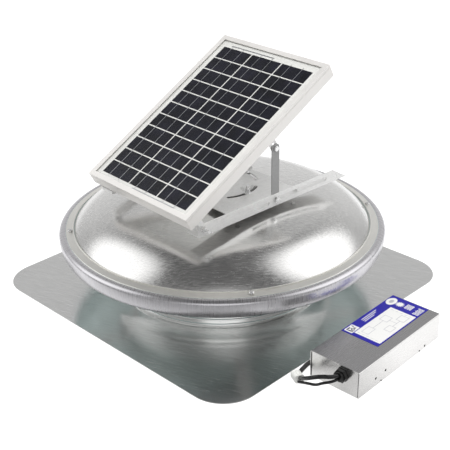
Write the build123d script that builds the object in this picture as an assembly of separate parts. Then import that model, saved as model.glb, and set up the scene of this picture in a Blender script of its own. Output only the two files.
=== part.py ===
from build123d import *
import math
import os

# Solar attic fan for a roof: a square flashing with a round throat, a spun hood on four straps,
# a motor and fan inside, a swivelling and tilting solar panel on top, and a separate
# controller box with its leads.  Millimetres, +Z up.  The origin is on the fan's axis at the
# underside of the flashing, and the panel's low edge faces -Y.

# ---- sheet and fastener sizes
SHEET = 1.2
BRACKET_SHEET = 1.5
STRUT_SHEET = 1.8
BOLT_R = 2.5
RUN_CLEAR = 0.1
NUT_BORE_R = BOLT_R + 0.05
BOLT_HEX = 8.0
HEAD_H = 3.5
NUT_H = 4.0
SEAT = 0.05
GAP = 0.4

# ---- flashing and throat
FLASHING_SIDE = 622.0
FLASHING_CORNER_R = 66.0
FLARE_OUTER_R = 236.0
FLARE_TOP_R = 206.0
FLARE_TOP_Z = 7.0
NECK_TOP_Z = 20.0
NECK_CLEAR = 0.1
COLLAR_R = 203.5
COLLAR_BOTTOM_Z = 8.4
COLLAR_TOP_Z = 118.0
COLLAR_BEAD_R = 2.0
RIDGE_FIRST_Z = 15.0
RIDGE_STEP = 10.0
RIDGE_COUNT = 6
RIDGE_HALF = 2.6
RIDGE_OUT = 1.8

# ---- hood
BAND_INNER_R = 280.6
BAND_INNER_Z = 128.4
BAND_OUTER_R = 297.0
BAND_OUTER_Z = 125.4
ROLL_OUT = 12.0
ROLL_HEIGHT = 36.0
ROLL_TURN = 8.0
DOME_APEX_Z = 195.0
CROWN_R = 955.0
CROWN_EDGE_R = 200.0
DOME_FLANGE_R = 291.5
HOOD_SCREW_R = 288.0
HOOD_SCREW_FIRST_DEG = -35.5
STRAP_WIDTH = 25.0
STRAP_THICK = 2.0
STRAP_STANDOFF = 2.2
STRAP_LOW_Z = 80.0
RIVET_Z = 92.0
BAND_BEAD_R = 1.2
SCREEN_TOP_Z = 168.0
SCREEN_WIRES = 40
SCREEN_HOOPS = 4
WIRE_R = 1.0

# ---- fan and motor
BLADE_COUNT = 5
BLADE_R = 190.0
BLADE_PITCH_DEG = 25.0
BLADE_CHORD = 104.0
FAN_Z = 58.0
HUB_R = 48.0
HUB_DISC_HALF = 2.0
BLADE_RIVET_X = (28.0, 41.0)
BLADE_RIVET_R = 2.0
SET_SCREW_R = 2.0
SHAFT_R = 4.0
SPIDER_Z = 88.0
SPIDER_THICK = 3.0
SPIDER_ARM_HALF = 14.0
SPIDER_BOLT_Z = 103.0
MOTOR_R = 46.0
MOTOR_WALL = 3.0
MOTOR_HEIGHT = 58.0
MOTOR_LOW_Z = SPIDER_Z + SPIDER_THICK
MOTOR_BOLT_R = MOTOR_R - 9.0
MOTOR_FLOOR_T = 6.0
FIN_COUNT = 16
CORE_LOW_Z = MOTOR_LOW_Z + 14.0
CORE_HIGH_Z = CORE_LOW_Z + 28.0
ROTOR_R = 20.0
BEARING_R = 11.0
CABLE_Z = MOTOR_LOW_Z + MOTOR_HEIGHT - 12.0

# ---- swivel on the hood
SWIVEL_R = 67.0
SLOT_HALF_DEG = 31.0
STUD_R = 3.0
SPACER_TOP_Z = 198.5
HEAD_YAW_DEG = -3.0

# ---- bracket: base plate and two slotted angle rails
RAIL_OUTER_X = 137.0
RAIL_BOTTOM_Z = 197.0
RAIL_TOP_Z = 220.0
RAIL_FLANGE = 31.0
RIGHT_TOE_H = 2.6
LEFT_TOE_H = 6.0
BRACKET_HOLE_X = (100.0, 150.0)
RAIL_END_HOLE_YZ = (166.0, 206.0)
RAIL_FRONT_Y = -175.0
RAIL_REAR_LOW_Y = 196.0
RAIL_REAR_TOP_Y = 159.0
PLATE_HALF_X = 131.0
PLATE_HALF_Y = 84.0
RAIL_BOLT_X = 122.0
RAIL_BOLT_Y = 72.0
HINGE_Y = -166.0
HINGE_Z = 211.0
FOOT_Y = 8.0
SLOT_Z = 208.5
LONG_SLOT_END_Y = 136.0
LONG_SLOT_W = 9.0
SHORT_SLOT_Y = (-44.0, -13.0)
SHORT_SLOT_W = 7.5
SHORT_SLOT_Z = 206.5
STRUT_TOP_Z = 306.0
STRUT_W = 18.0

# ---- solar panel, at rest tilted up from its low front edge
PANEL_W = 274.0
PANEL_L = 390.0
PANEL_T = 26.0
PANEL_FRONT_Y = -202.5
PANEL_FRONT_Z = 239.5
TILT_DEG = 29.0
TILT_TRAVEL_DEG = 10.0
FRAME_WALL = 1.8
FRAME_LIP = 10.0
FRAME_FLANGE = 20.0
GLASS_T = 2.0
GLASS_TOP_Z = -1.65
CELL_PLANE_Z = GLASS_TOP_Z - GLASS_T - 0.01
RIBBON_T = 0.15
CELL_T = 0.25
BACKSHEET_T = 0.6
CELL_COLUMNS = 3
CELL_ROWS = 11
CELL_SIDE_MARGIN = 21.0
CELL_FRONT_MARGIN = 18.0
CELL_REAR_MARGIN = 24.5
CELL_GAP = 2.6

TAB_SCREW_X = 125.3
TAB_SCREW_DY = (-9.5, 9.5)
TAB_SCREW_R = 1.6
LIP_T = 1.6
JUNCTION_X = 45.0
JUNCTION_Y = (292.0, 352.0)
JUNCTION_H = 15.0
JUNCTION_WALL = 3.0
JUNCTION_GLAND_DROP = 8.0

# ---- controller box, standing beside the flashing
BOX_CENTRE = (385.4, -19.7)
BOX_YAW_DEG = 1.7
BOX_W = 98.0
BOX_L = 236.0
BOX_H = 49.6
GLAND_X = 18.5
GLAND_Z = 35.7
GLAND_BODY_L = 14.5
COVER_HOLES = ((-43.5, 17.2), (-71.0, 15.3), (-55.5, 2.5), (75.2, 5.4), (58.5, 2.5))
COVER_SCREW_Y = (-80.0, 80.0)
COVER_SCREW_Z = 12.0
COVER_HOLE_R = 2.3
COVER_FOLD_R = 2.0
END_WALL_SEAM = 1.7
END_WALL_TOP_SEAM = 0.8
LABEL_X = (-47.5, 27.0)
LABEL_Y = (-37.0, 116.5)

head_place = Location((0, 0, 0), (0, 0, HEAD_YAW_DEG))
panel_place = head_place * Location((0, PANEL_FRONT_Y, PANEL_FRONT_Z), (TILT_DEG, 0, 0))
box_place = Location((BOX_CENTRE[0], BOX_CENTRE[1], 0), (0, 0, BOX_YAW_DEG))


# ---------------------------------------------------------------- helpers
def block(x, y, z):
    """A box given by its limits along X, Y and Z."""
    size = Box(x[1] - x[0], y[1] - y[0], z[1] - z[0])
    return Pos((x[0] + x[1]) / 2, (y[0] + y[1]) / 2, (z[0] + z[1]) / 2) * size


def rod_z(x, y, z0, z1, radius):
    return Pos(x, y, (z0 + z1) / 2) * Cylinder(radius, z1 - z0)


def rod_x(x0, x1, y, z, radius):
    return Pos((x0 + x1) / 2, y, z) * Rot(0, 90, 0) * Cylinder(radius, x1 - x0)


def rod_y(x, y0, y1, z, radius):
    return Pos(x, (y0 + y1) / 2, z) * Rot(90, 0, 0) * Cylinder(radius, y1 - y0)


def hex_x(x0, x1, y, z, across):
    prism = extrude(RegularPolygon(across / 2, 6, major_radius=False), x1 - x0)
    return Pos(x0, y, z) * Rot(0, 90, 0) * prism


def hex_z(x, y, z0, z1, across):
    prism = extrude(RegularPolygon(across / 2, 6, major_radius=False), z1 - z0)
    return Pos(x, y, z0) * prism


def spun(edges):
    """A solid of revolution about Z from edges drawn in the XZ plane."""
    return revolve(make_face(edges), Axis.Z)


def ring(r_in, r_out, z0, z1):
    return rod_z(0, 0, z0, z1, r_out) - rod_z(0, 0, z0 - 1, z1 + 1, r_in)


def around(shape, angles):
    """Copies of a shape turned about Z, as separate solids."""
    return Compound(children=[Rot(0, 0, a) * s for a in angles for s in shape.solids()])


def group(shapes):
    return Compound(children=[s for shape in shapes for s in shape.solids()])


def mirrored(shape):
    """A shape and its mirror image across X = 0."""
    return group([shape, mirror(shape, Plane.YZ)])


def save(name, shape, place=Location()):
    export_step(place * shape, f"parts/{name}.step")


def polar(radius, degrees):
    angle = math.radians(degrees)
    return radius * math.cos(angle), radius * math.sin(angle)


# ---------------------------------------------------------------- flashing and throat
def roof_flashing():
    """A rounded sheet whose middle flares up to a throat sleeve that reaches its underside."""
    side = FLASHING_SIDE
    sheet = extrude(RectangleRounded(side, side, FLASHING_CORNER_R), SHEET)
    sheet -= rod_z(0, 0, -1, SHEET + 1, FLARE_OUTER_R)
    neck_r = COLLAR_R - SHEET - NECK_CLEAR
    top = (FLARE_OUTER_R, 0, SHEET)
    rise = (FLARE_TOP_R, 0, FLARE_TOP_Z)
    under_rise = (FLARE_TOP_R - 0.4, 0, FLARE_TOP_Z - SHEET)
    flare = spun([
        Line((FLARE_OUTER_R, 0, 0), top),
        TangentArc(top, rise, tangent=(-1, 0, 0)),
        Line(rise, (neck_r, 0, FLARE_TOP_Z + SHEET)),
        Line((neck_r, 0, FLARE_TOP_Z + SHEET), (neck_r, 0, NECK_TOP_Z)),
        Line((neck_r, 0, NECK_TOP_Z), (neck_r - SHEET, 0, NECK_TOP_Z)),
        Line((neck_r - SHEET, 0, NECK_TOP_Z), (neck_r - SHEET, 0, 0)),
        Line((neck_r - SHEET, 0, 0), (neck_r, 0, 0)),
        Line((neck_r, 0, 0), (neck_r, 0, FLARE_TOP_Z - SHEET)),
        Line((neck_r, 0, FLARE_TOP_Z - SHEET), under_rise),
        TangentArc((FLARE_OUTER_R, 0, 0), under_rise, tangent=(-1, 0, 0)),
    ])
    return sheet + flare


def collar_wall(radius):
    """One skin of the ridged collar as edges from its bottom to its top."""
    edges = []
    low = COLLAR_BOTTOM_Z
    for i in range(RIDGE_COUNT):
        middle = RIDGE_FIRST_Z + i * RIDGE_STEP
        start = (radius, 0, middle - RIDGE_HALF)
        crest = (radius + RIDGE_OUT, 0, middle)
        end = (radius, 0, middle + RIDGE_HALF)
        edges.append(Line((radius, 0, low), start))
        edges.append(ThreePointArc(start, crest, end))
        low = middle + RIDGE_HALF
    edges.append(Line((radius, 0, low), (radius, 0, COLLAR_TOP_Z)))
    return edges


def throat_collar():
    inner = COLLAR_R - SHEET
    ends = [
        Line((COLLAR_R, 0, COLLAR_BOTTOM_Z), (inner, 0, COLLAR_BOTTOM_Z)),
        Line((COLLAR_R, 0, COLLAR_TOP_Z), (inner, 0, COLLAR_TOP_Z)),
    ]
    wall = spun(collar_wall(COLLAR_R) + collar_wall(inner) + ends)
    return wall + Pos(0, 0, COLLAR_TOP_Z) * Torus(COLLAR_R - SHEET / 2, COLLAR_BEAD_R)


def bird_screen():
    """A wire cage that closes the gap between the collar's top and the dome."""
    cage_r = COLLAR_R - SHEET / 2
    low = COLLAR_TOP_Z + COLLAR_BEAD_R + WIRE_R + 0.2
    step = (SCREEN_TOP_Z - low) / (SCREEN_HOOPS - 1)
    cage = Pos(0, 0, low) * Torus(cage_r, WIRE_R)
    for i in range(1, SCREEN_HOOPS):
        cage += Pos(0, 0, low + i * step) * Torus(cage_r, WIRE_R)
    for i in range(SCREEN_WIRES):
        x, y = polar(cage_r, (i + 0.5) * 360 / SCREEN_WIRES)
        cage += rod_z(x, y, low - WIRE_R, SCREEN_TOP_Z + 0.5, WIRE_R)
    return cage


# ---------------------------------------------------------------- hood
def dome_skin(offset):
    """The dome's crown and shoulder arcs, set in from the outer skin by offset."""
    crown_z = DOME_APEX_Z - CROWN_R
    turn = math.asin(CROWN_EDGE_R / CROWN_R)
    unit = (math.sin(turn), math.cos(turn))
    join = (CROWN_R * unit[0], crown_z + CROWN_R * unit[1])
    edge = (BAND_INNER_R - 0.8, BAND_INNER_Z - 1.0)
    step = (edge[0] - join[0], edge[1] - join[1])
    shoulder_r = -(step[0] ** 2 + step[1] ** 2) / (2 * (step[0] * unit[0] + step[1] * unit[1]))
    centre = (join[0] - shoulder_r * unit[0], join[1] - shoulder_r * unit[1])
    end_turn = math.atan2(edge[0] - centre[0], edge[1] - centre[1])

    def crown_point(angle):
        radius = CROWN_R - offset
        return (radius * math.sin(angle), 0, crown_z + radius * math.cos(angle))

    def shoulder_point(angle):
        radius = shoulder_r - offset
        return (centre[0] + radius * math.sin(angle), 0, centre[1] + radius * math.cos(angle))

    crown = ThreePointArc(crown_point(0), crown_point(turn / 2), crown_point(turn))
    shoulder = ThreePointArc(
        shoulder_point(turn), shoulder_point((turn + end_turn) / 2), shoulder_point(end_turn)
    )
    return crown, shoulder


def band_z(radius):
    """Height of the band's top face, which falls a little towards its outer edge."""
    share = (radius - BAND_INNER_R) / (BAND_OUTER_R - BAND_INNER_R)
    return BAND_INNER_Z + share * (BAND_OUTER_Z - BAND_INNER_Z)


def hood_dome():
    crown, shoulder = dome_skin(0)
    inner_crown, inner_shoulder = dome_skin(SHEET)
    flange_z = band_z(DOME_FLANGE_R) - SHEET
    lip = (DOME_FLANGE_R, 0, flange_z)
    lip_under = (DOME_FLANGE_R, 0, flange_z - SHEET)
    dome = spun([
        crown,
        shoulder,
        Line(shoulder @ 1, (BAND_INNER_R, 0, band_z(BAND_INNER_R) - SHEET)),
        Line((BAND_INNER_R, 0, band_z(BAND_INNER_R) - SHEET), lip),
        Line(lip, lip_under),
        Line(lip_under, inner_shoulder @ 1),
        inner_shoulder,
        inner_crown,
        Line(inner_crown @ 0, crown @ 0),
    ])
    for x, y in hood_screw_points():
        dome -= rod_z(x, y, 110, 140, BOLT_R)
    return dome


def roll_curve(inset):
    """One skin of the roll: a quick turn out of the band, then a long turn down and under."""
    middle = (BAND_OUTER_R, BAND_OUTER_Z - ROLL_TURN)
    out = ROLL_OUT - inset
    rise = ROLL_TURN - inset
    fall = ROLL_HEIGHT - ROLL_TURN - inset
    upper = EllipticalCenterArc(middle, out, rise, start_angle=0, arc_size=90)
    lower = EllipticalCenterArc(middle, out, fall, start_angle=-90, arc_size=90)
    return [Plane.XZ * upper, Plane.XZ * lower]


def hood_rim():
    low_z = BAND_OUTER_Z - ROLL_HEIGHT
    low = (BAND_OUTER_R, 0, low_z)
    low_in = (BAND_OUTER_R, 0, low_z + SHEET)
    inner_edge = (BAND_INNER_R, 0, BAND_INNER_Z)
    inner_under = (BAND_INNER_R, 0, BAND_INNER_Z - SHEET)
    rim = spun([
        Line(inner_edge, (BAND_OUTER_R, 0, BAND_OUTER_Z)),
        *roll_curve(0),
        Line(low, low_in),
        *roll_curve(SHEET),
        Line((BAND_OUTER_R, 0, BAND_OUTER_Z - SHEET), inner_under),
        Line(inner_under, inner_edge),
    ])
    rim += Pos(0, 0, BAND_INNER_Z + BAND_BEAD_R / 2) * Torus(BAND_INNER_R + BAND_BEAD_R, BAND_BEAD_R)
    for x, y in hood_screw_points():
        rim -= rod_z(x, y, 115, 140, BOLT_R)
    return rim


def hood_screw_angles():
    return [HOOD_SCREW_FIRST_DEG + 90 * i for i in range(4)]


def hood_screw_points():
    return [polar(HOOD_SCREW_R, a) for a in hood_screw_angles()]


def hood_screws():
    """Pan-head screws through the band, with a hex nut under each strap."""
    head_r = 4.4
    seat = band_z(HOOD_SCREW_R - head_r) + 0.05
    head = rod_z(HOOD_SCREW_R, 0, seat, seat + 3.4, head_r)
    head = fillet(head.edges().group_by(Axis.Z)[-1], 1.6)
    slot = block((HOOD_SCREW_R - 3.4, HOOD_SCREW_R + 3.4), (-0.5, 0.5), (seat + 2.4, seat + 4))
    shank = rod_z(HOOD_SCREW_R, 0, 112, seat + 1, BOLT_R)
    under = strap_top_z() - STRAP_THICK
    nut = hex_z(HOOD_SCREW_R, 0, under - NUT_H, under, BOLT_HEX)
    nut -= rod_z(HOOD_SCREW_R, 0, 100, 130, NUT_BORE_R)
    return around(group([head - slot + shank, nut]), hood_screw_angles())


def strap_top_z():
    return band_z(DOME_FLANGE_R) - 2 * SHEET - 0.9


def hood_straps():
    """Four bent straps that carry the hood on the collar's outside wall."""
    top = strap_top_z()
    half = STRAP_WIDTH / 2
    inner = COLLAR_R + STRAP_STANDOFF
    arm = block((inner, DOME_FLANGE_R + 3), (-half, half), (top - STRAP_THICK, top))
    leg = block((inner, inner + STRAP_THICK), (-half, half), (STRAP_LOW_Z, top))
    strap = arm + leg
    strap -= rod_z(HOOD_SCREW_R, 0, 100, 140, BOLT_R)
    bore = rod_x(COLLAR_R - 5, COLLAR_R + 12, 0, RIVET_Z, BOLT_R)
    return around(strap - bore, hood_screw_angles())


def strap_rivets():
    """One rivet through each strap's leg and the collar."""
    outer = COLLAR_R + STRAP_STANDOFF + STRAP_THICK
    inner = COLLAR_R - SHEET
    head = rod_x(outer, outer + 2, 0, RIVET_Z, 5)
    shank = rod_x(inner - 2, outer + 1, 0, RIVET_Z, BOLT_R)
    tail = rod_x(inner - 2, inner, 0, RIVET_Z, 4)
    spacer = rod_x(COLLAR_R, COLLAR_R + STRAP_STANDOFF, 0, RIVET_Z, 7)
    return around(head + shank + tail + spacer, hood_screw_angles())


# ---------------------------------------------------------------- motor and fan
def motor_spider():
    """A ring with three arms whose feet are bent up against the collar."""
    top = SPIDER_Z + SPIDER_THICK
    half = SPIDER_ARM_HALF
    spider = ring(16, MOTOR_R + 6, SPIDER_Z, top)
    foot_r = COLLAR_R - SHEET - 0.3
    arm = block((MOTOR_R, foot_r - 1), (-half, half), (SPIDER_Z, top))
    rib = block((MOTOR_R + 8, foot_r - 20), (-2, 2), (top, top + 6))
    foot = ring(foot_r - SPIDER_THICK, foot_r, SPIDER_Z, SPIDER_Z + 24)
    foot &= block((150, 220), (-half, half), (SPIDER_Z - 1, SPIDER_Z + 30))
    arm = arm + rib + foot
    for angle in spider_angles():
        spider += Rot(0, 0, angle) * arm
    for angle in motor_bolt_angles():
        x, y = polar(MOTOR_BOLT_R, angle)
        spider -= rod_z(x, y, SPIDER_Z - 5, top + 7, BOLT_R)
    for angle in spider_angles():
        spider -= Rot(0, 0, angle) * rod_x(190, 210, 0, SPIDER_BOLT_Z, BOLT_R)
    return spider


def spider_angles():
    return [90 + 120 * i for i in range(3)]


def motor_bolt_angles():
    return [30 + 90 * i for i in range(4)]


def spider_bolts():
    z = SPIDER_BOLT_Z
    seat = COLLAR_R - SHEET - SPIDER_THICK - 0.4
    head = hex_x(seat - HEAD_H, seat, 0, z, BOLT_HEX)
    shank = rod_x(seat - 1, COLLAR_R + 6, 0, z, BOLT_R)
    nut = hex_x(COLLAR_R + SEAT, COLLAR_R + NUT_H, 0, z, BOLT_HEX) - rod_x(190, 220, 0, z, NUT_BORE_R)
    return around(group([head + shank, nut]), spider_angles())


def collar_with_bores():
    collar = throat_collar()
    for angle in spider_angles():
        collar -= Rot(0, 0, angle) * rod_x(190, 220, 0, SPIDER_BOLT_Z, BOLT_R)
    for angle in hood_screw_angles():
        collar -= Rot(0, 0, angle) * rod_x(190, 220, 0, RIVET_Z, BOLT_R)
    return collar


def motor_housing():
    """An open can with cooling fins and a boss for the lower bearing."""
    low = MOTOR_LOW_Z
    high = low + MOTOR_HEIGHT
    can = ring(MOTOR_R - MOTOR_WALL, MOTOR_R, low, high)
    can += ring(BEARING_R + SEAT, MOTOR_R, low, low + MOTOR_FLOOR_T)
    for i in range(FIN_COUNT):
        fin = block((MOTOR_R - 1, MOTOR_R + 4), (-1, 1), (low + 8, high - 6))
        can += Rot(0, 0, i * 360 / FIN_COUNT) * fin
    for angle in motor_bolt_angles():
        x, y = polar(MOTOR_BOLT_R, angle)
        can -= rod_z(x, y, low - 1, low + MOTOR_FLOOR_T + 1, BOLT_R + RUN_CLEAR)
    return can - rod_x(MOTOR_R - 8, MOTOR_R + 12, 0, CABLE_Z, 4.0)


def motor_stator():
    """Laminated stator ring with six teeth, fixed in the can."""
    outer = MOTOR_R - MOTOR_WALL - SEAT
    stator = ring(outer - 6, outer, CORE_LOW_Z, CORE_HIGH_Z)
    for i in range(6):
        tooth = block((ROTOR_R + 2, outer - 3), (-5, 5), (CORE_LOW_Z, CORE_HIGH_Z))
        stator += Rot(0, 0, i * 60) * tooth
    return stator


def motor_end_cap():
    high = MOTOR_LOW_Z + MOTOR_HEIGHT
    cap = rod_z(0, 0, high, high + 5, MOTOR_R + 3)
    cap = chamfer(cap.edges().group_by(Axis.Z)[-1], 2)
    return cap - rod_z(0, 0, high - 1, high + 3, SHAFT_R + 0.6)


def motor_bearing():
    return ring(SHAFT_R + SEAT, BEARING_R, MOTOR_LOW_Z, MOTOR_LOW_Z + MOTOR_FLOOR_T)


def motor_bolts():
    bolts = []
    nut_low = MOTOR_LOW_Z + MOTOR_FLOOR_T + SEAT
    for angle in motor_bolt_angles():
        x, y = polar(MOTOR_BOLT_R, angle)
        head = hex_z(x, y, SPIDER_Z - HEAD_H, SPIDER_Z - SEAT, BOLT_HEX)
        shank = rod_z(x, y, SPIDER_Z - 1, nut_low + 1, BOLT_R)
        nut = hex_z(x, y, nut_low, nut_low + NUT_H, BOLT_HEX)
        bolts += [head + shank, nut - rod_z(x, y, nut_low - 1, nut_low + NUT_H + 1, NUT_BORE_R)]
    return group(bolts)


def motor_cable_gland():
    collar = hex_x(MOTOR_R + 4.2, MOTOR_R + 9, 0, CABLE_Z, 14)
    stem = rod_x(MOTOR_R - 4, MOTOR_R + 18, 0, CABLE_Z, 3.95)
    dome = rod_x(MOTOR_R + 9, MOTOR_R + 18, 0, CABLE_Z, 6)
    return collar + stem + dome - rod_x(MOTOR_R - 8, MOTOR_R + 22, 0, CABLE_Z, 2.2)


def motor_shaft():
    return rod_z(0, 0, FAN_Z - 20, MOTOR_LOW_Z + MOTOR_HEIGHT + 2, SHAFT_R)


def motor_rotor():
    return ring(SHAFT_R + 0.02, ROTOR_R, CORE_LOW_Z, CORE_HIGH_Z)


def fan_hub():
    """A boss on the shaft with a disc that the blade roots are riveted under."""
    hub = ring(SHAFT_R, 14, FAN_Z - 16, FAN_Z + 16)
    hub += ring(SHAFT_R, HUB_R, FAN_Z - HUB_DISC_HALF, FAN_Z + HUB_DISC_HALF)
    hub -= rod_x(0, 20, 0, FAN_Z + 11, SET_SCREW_R)
    for angle in blade_angles():
        for x in BLADE_RIVET_X:
            hub -= Rot(0, 0, angle) * rod_z(x, 0, FAN_Z - 9, FAN_Z + 9, BLADE_RIVET_R)
    return hub


def blade_angles():
    return [i * 360 / BLADE_COUNT for i in range(BLADE_COUNT)]


def fan_blades():
    """Curved sheet blades, each with a flat root pad under the hub's disc."""
    sheet = 1.8
    bow_r = 150.0
    pad_top = FAN_Z - HUB_DISC_HALF - 0.05
    turn = math.degrees(BLADE_CHORD / bow_r)
    outer = CenterArc((0, -bow_r), bow_r + sheet / 2, 90 - turn / 2, turn)
    inner = CenterArc((0, -bow_r), bow_r - sheet / 2, 90 - turn / 2, turn)
    section = make_face([outer, inner, Line(outer @ 0, inner @ 0), Line(outer @ 1, inner @ 1)])
    blade = Rot(BLADE_PITCH_DEG, 0, 0) * extrude(Plane.YZ * section, BLADE_R + 10)
    blade = Pos(0, 0, pad_top - sheet) * blade
    blade &= ring(HUB_R + 1, BLADE_R, FAN_Z - 40, FAN_Z + 40)
    blade += block((20, HUB_R + 14), (-12, 12), (pad_top - sheet, pad_top))
    for x in BLADE_RIVET_X:
        blade -= rod_z(x, 0, FAN_Z - 9, FAN_Z + 9, BLADE_RIVET_R)
    return around(blade, blade_angles())


def fan_hub_fasteners():
    """The hub's set screw, and two rivets through the disc and each blade root."""
    fasteners = [rod_x(SHAFT_R, 15, 0, FAN_Z + 11, SET_SCREW_R)]
    for x in BLADE_RIVET_X:
        rivet = rod_z(x, 0, FAN_Z - 5.6, FAN_Z + 3.6, BLADE_RIVET_R)
        rivet += rod_z(x, 0, FAN_Z - 5.6, FAN_Z - 4.0, 3.4)
        rivet += rod_z(x, 0, FAN_Z + HUB_DISC_HALF + 0.02, FAN_Z + 3.6, 3.4)
        fasteners.append(around(rivet, blade_angles()))
    return group(fasteners)


# ---------------------------------------------------------------- swivel fasteners on the hood
def dome_z(radius):
    return DOME_APEX_Z - CROWN_R + math.sqrt(CROWN_R ** 2 - radius ** 2)


def swivel_studs():
    low = dome_z(SWIVEL_R - 6) + 0.02
    foot = rod_z(SWIVEL_R, 0, low, low + 1, 6)
    stud = rod_z(SWIVEL_R, 0, low, SPACER_TOP_Z + 17, STUD_R)
    return around(foot + stud, [0, 90, 180, 270])


def stud_spacers():
    low = dome_z(SWIVEL_R - 6) + 1.05
    spacer = rod_z(SWIVEL_R, 0, low, SPACER_TOP_Z - 0.1, 9) - rod_z(SWIVEL_R, 0, low - 1, 210, STUD_R + 0.05)
    return around(spacer, [0, 90, 180, 270])


def wing_nut(bore_r):
    """A wing nut standing on Z = 0."""
    hub = Cone(6.2, 4.6, 7, align=(Align.CENTER, Align.CENTER, Align.MIN))
    outline = make_face(Polyline((2, 1.5), (7, 3), (13, 8), (13.5, 12), (10, 13.5), (3.5, 7), (2, 1.5)))
    wing = Pos(0, 0.9, 0) * extrude(Plane.XZ * outline, 1.8)
    wing = fillet(wing.edges().filter_by(Axis.Y), 1.2)
    nut = hub + wing + Rot(0, 0, 180) * wing
    return nut - Cylinder(bore_r, 40)


def swivel_wing_nuts():
    seat = SPACER_TOP_Z + BRACKET_SHEET
    washer = ring(STUD_R + 0.05, 7.5, seat + 0.1, seat + 1.1)
    nut = Pos(0, 0, seat + 1.1) * wing_nut(STUD_R + 0.05)
    nuts = [Pos(SWIVEL_R, 0, 0) * (Rot(0, 0, 70) * (washer + nut))]
    nuts.append(Pos(0, SWIVEL_R, 0) * (Rot(0, 0, 25) * (washer + nut)))
    nuts.append(Pos(-SWIVEL_R, 0, 0) * (Rot(0, 0, 120) * (washer + nut)))
    nuts.append(Pos(0, -SWIVEL_R, 0) * (Rot(0, 0, -30) * (washer + nut)))
    return group(nuts)


# ---------------------------------------------------------------- bracket
def bracket_base_plate():
    low = SPACER_TOP_Z
    plate = extrude(Pos(0, 0, low) * RectangleRounded(2 * PLATE_HALF_X, 2 * PLATE_HALF_Y, 6), BRACKET_SHEET)
    half_w = STUD_R + 0.6
    for i in range(4):
        arc = CenterArc((0, 0), SWIVEL_R, i * 90 - SLOT_HALF_DEG, 2 * SLOT_HALF_DEG)
        ends = [arc @ 0, arc @ 1]
        slot = ring(SWIVEL_R - half_w, SWIVEL_R + half_w, low - 1, low + 3)
        slot &= extrude(Pos(0, 0, low - 1) * sector(i * 90, SLOT_HALF_DEG), 4)
        plate -= slot
        for end in ends:
            plate -= rod_z(end.X, end.Y, low - 1, low + 3, half_w)
    plate -= rod_z(0, 0, low - 1, low + 3, 8)
    for x, y in rail_bolt_points():
        plate -= rod_z(x, y, low - 1, low + 3, BOLT_R + RUN_CLEAR)
    return plate


def sector(middle, half):
    reach = 140
    a = polar(reach, middle - half)
    b = polar(reach, middle)
    c = polar(reach, middle + half)
    return make_face(Polyline((0, 0), a, b, c, (0, 0)))


def rail_bolt_points():
    return [(sx * RAIL_BOLT_X, sy * RAIL_BOLT_Y) for sx in (-1, 1) for sy in (-1, 1)]


def slot_x(y0, y1, z, width):
    """A round-ended cutter along Y through a wall that faces X."""
    x0, x1 = BRACKET_HOLE_X
    cutter = block((x0, x1), (y0, y1), (z - width / 2, z + width / 2))
    return cutter + rod_x(x0, x1, y0, z, width / 2) + rod_x(x0, x1, y1, z, width / 2)


def right_rail(toe_height):
    """A slotted angle: an upright wall, an inward flange along its bottom and a turned-up toe."""
    wall_in = RAIL_OUTER_X - BRACKET_SHEET
    outline = make_face(Polyline(
        (RAIL_FRONT_Y, RAIL_BOTTOM_Z),
        (RAIL_REAR_LOW_Y, RAIL_BOTTOM_Z),
        (RAIL_REAR_TOP_Y, RAIL_TOP_Z),
        (RAIL_FRONT_Y, RAIL_TOP_Z),
        (RAIL_FRONT_Y, RAIL_BOTTOM_Z),
    ))
    wall = Pos(wall_in, 0, 0) * extrude(Plane.YZ * outline, BRACKET_SHEET)
    flange = block(
        (RAIL_OUTER_X - RAIL_FLANGE, RAIL_OUTER_X),
        (RAIL_FRONT_Y, RAIL_REAR_TOP_Y),
        (RAIL_BOTTOM_Z, RAIL_BOTTOM_Z + BRACKET_SHEET),
    )
    toe = block(
        (RAIL_OUTER_X - RAIL_FLANGE, RAIL_OUTER_X),
        (RAIL_FRONT_Y, RAIL_FRONT_Y + BRACKET_SHEET),
        (RAIL_BOTTOM_Z, RAIL_BOTTOM_Z + toe_height),
    )
    rail = wall + flange + toe
    rail -= slot_x(FOOT_Y, LONG_SLOT_END_Y, SLOT_Z, LONG_SLOT_W)
    rail -= slot_x(SHORT_SLOT_Y[0], SHORT_SLOT_Y[1], SHORT_SLOT_Z, SHORT_SLOT_W)
    rail -= rod_x(*BRACKET_HOLE_X, HINGE_Y, HINGE_Z, BOLT_R + RUN_CLEAR)
    rail -= rod_x(*BRACKET_HOLE_X, *RAIL_END_HOLE_YZ, 2.0)
    for y in (-RAIL_BOLT_Y, RAIL_BOLT_Y):
        rail -= rod_z(RAIL_BOLT_X, y, 190, 200, BOLT_R + RUN_CLEAR)
    return rail


def rail_bolts():
    """Bolts up through the rail flanges and the plate, with nuts on top."""
    parts = []
    plate_top = SPACER_TOP_Z + BRACKET_SHEET
    for x, y in rail_bolt_points():
        head = hex_z(x, y, RAIL_BOTTOM_Z - 3.4, RAIL_BOTTOM_Z - 0.05, 8)
        shank = rod_z(x, y, RAIL_BOTTOM_Z - 1, plate_top + 11, BOLT_R)
        nut = hex_z(x, y, plate_top + 0.05, plate_top + 4.5, 8.5) - rod_z(x, y, 190, 220, NUT_BORE_R)
        parts += [head + shank, nut]
    return group(parts)


def hinge_bolts():
    inner = RAIL_OUTER_X - BRACKET_SHEET - GAP - STRUT_SHEET
    head = hex_x(inner - 4.2, inner - 0.3, HINGE_Y, HINGE_Z, 8)
    shank = rod_x(inner - 1, RAIL_OUTER_X + 16, HINGE_Y, HINGE_Z, BOLT_R)
    return mirrored(head + shank)


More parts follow.
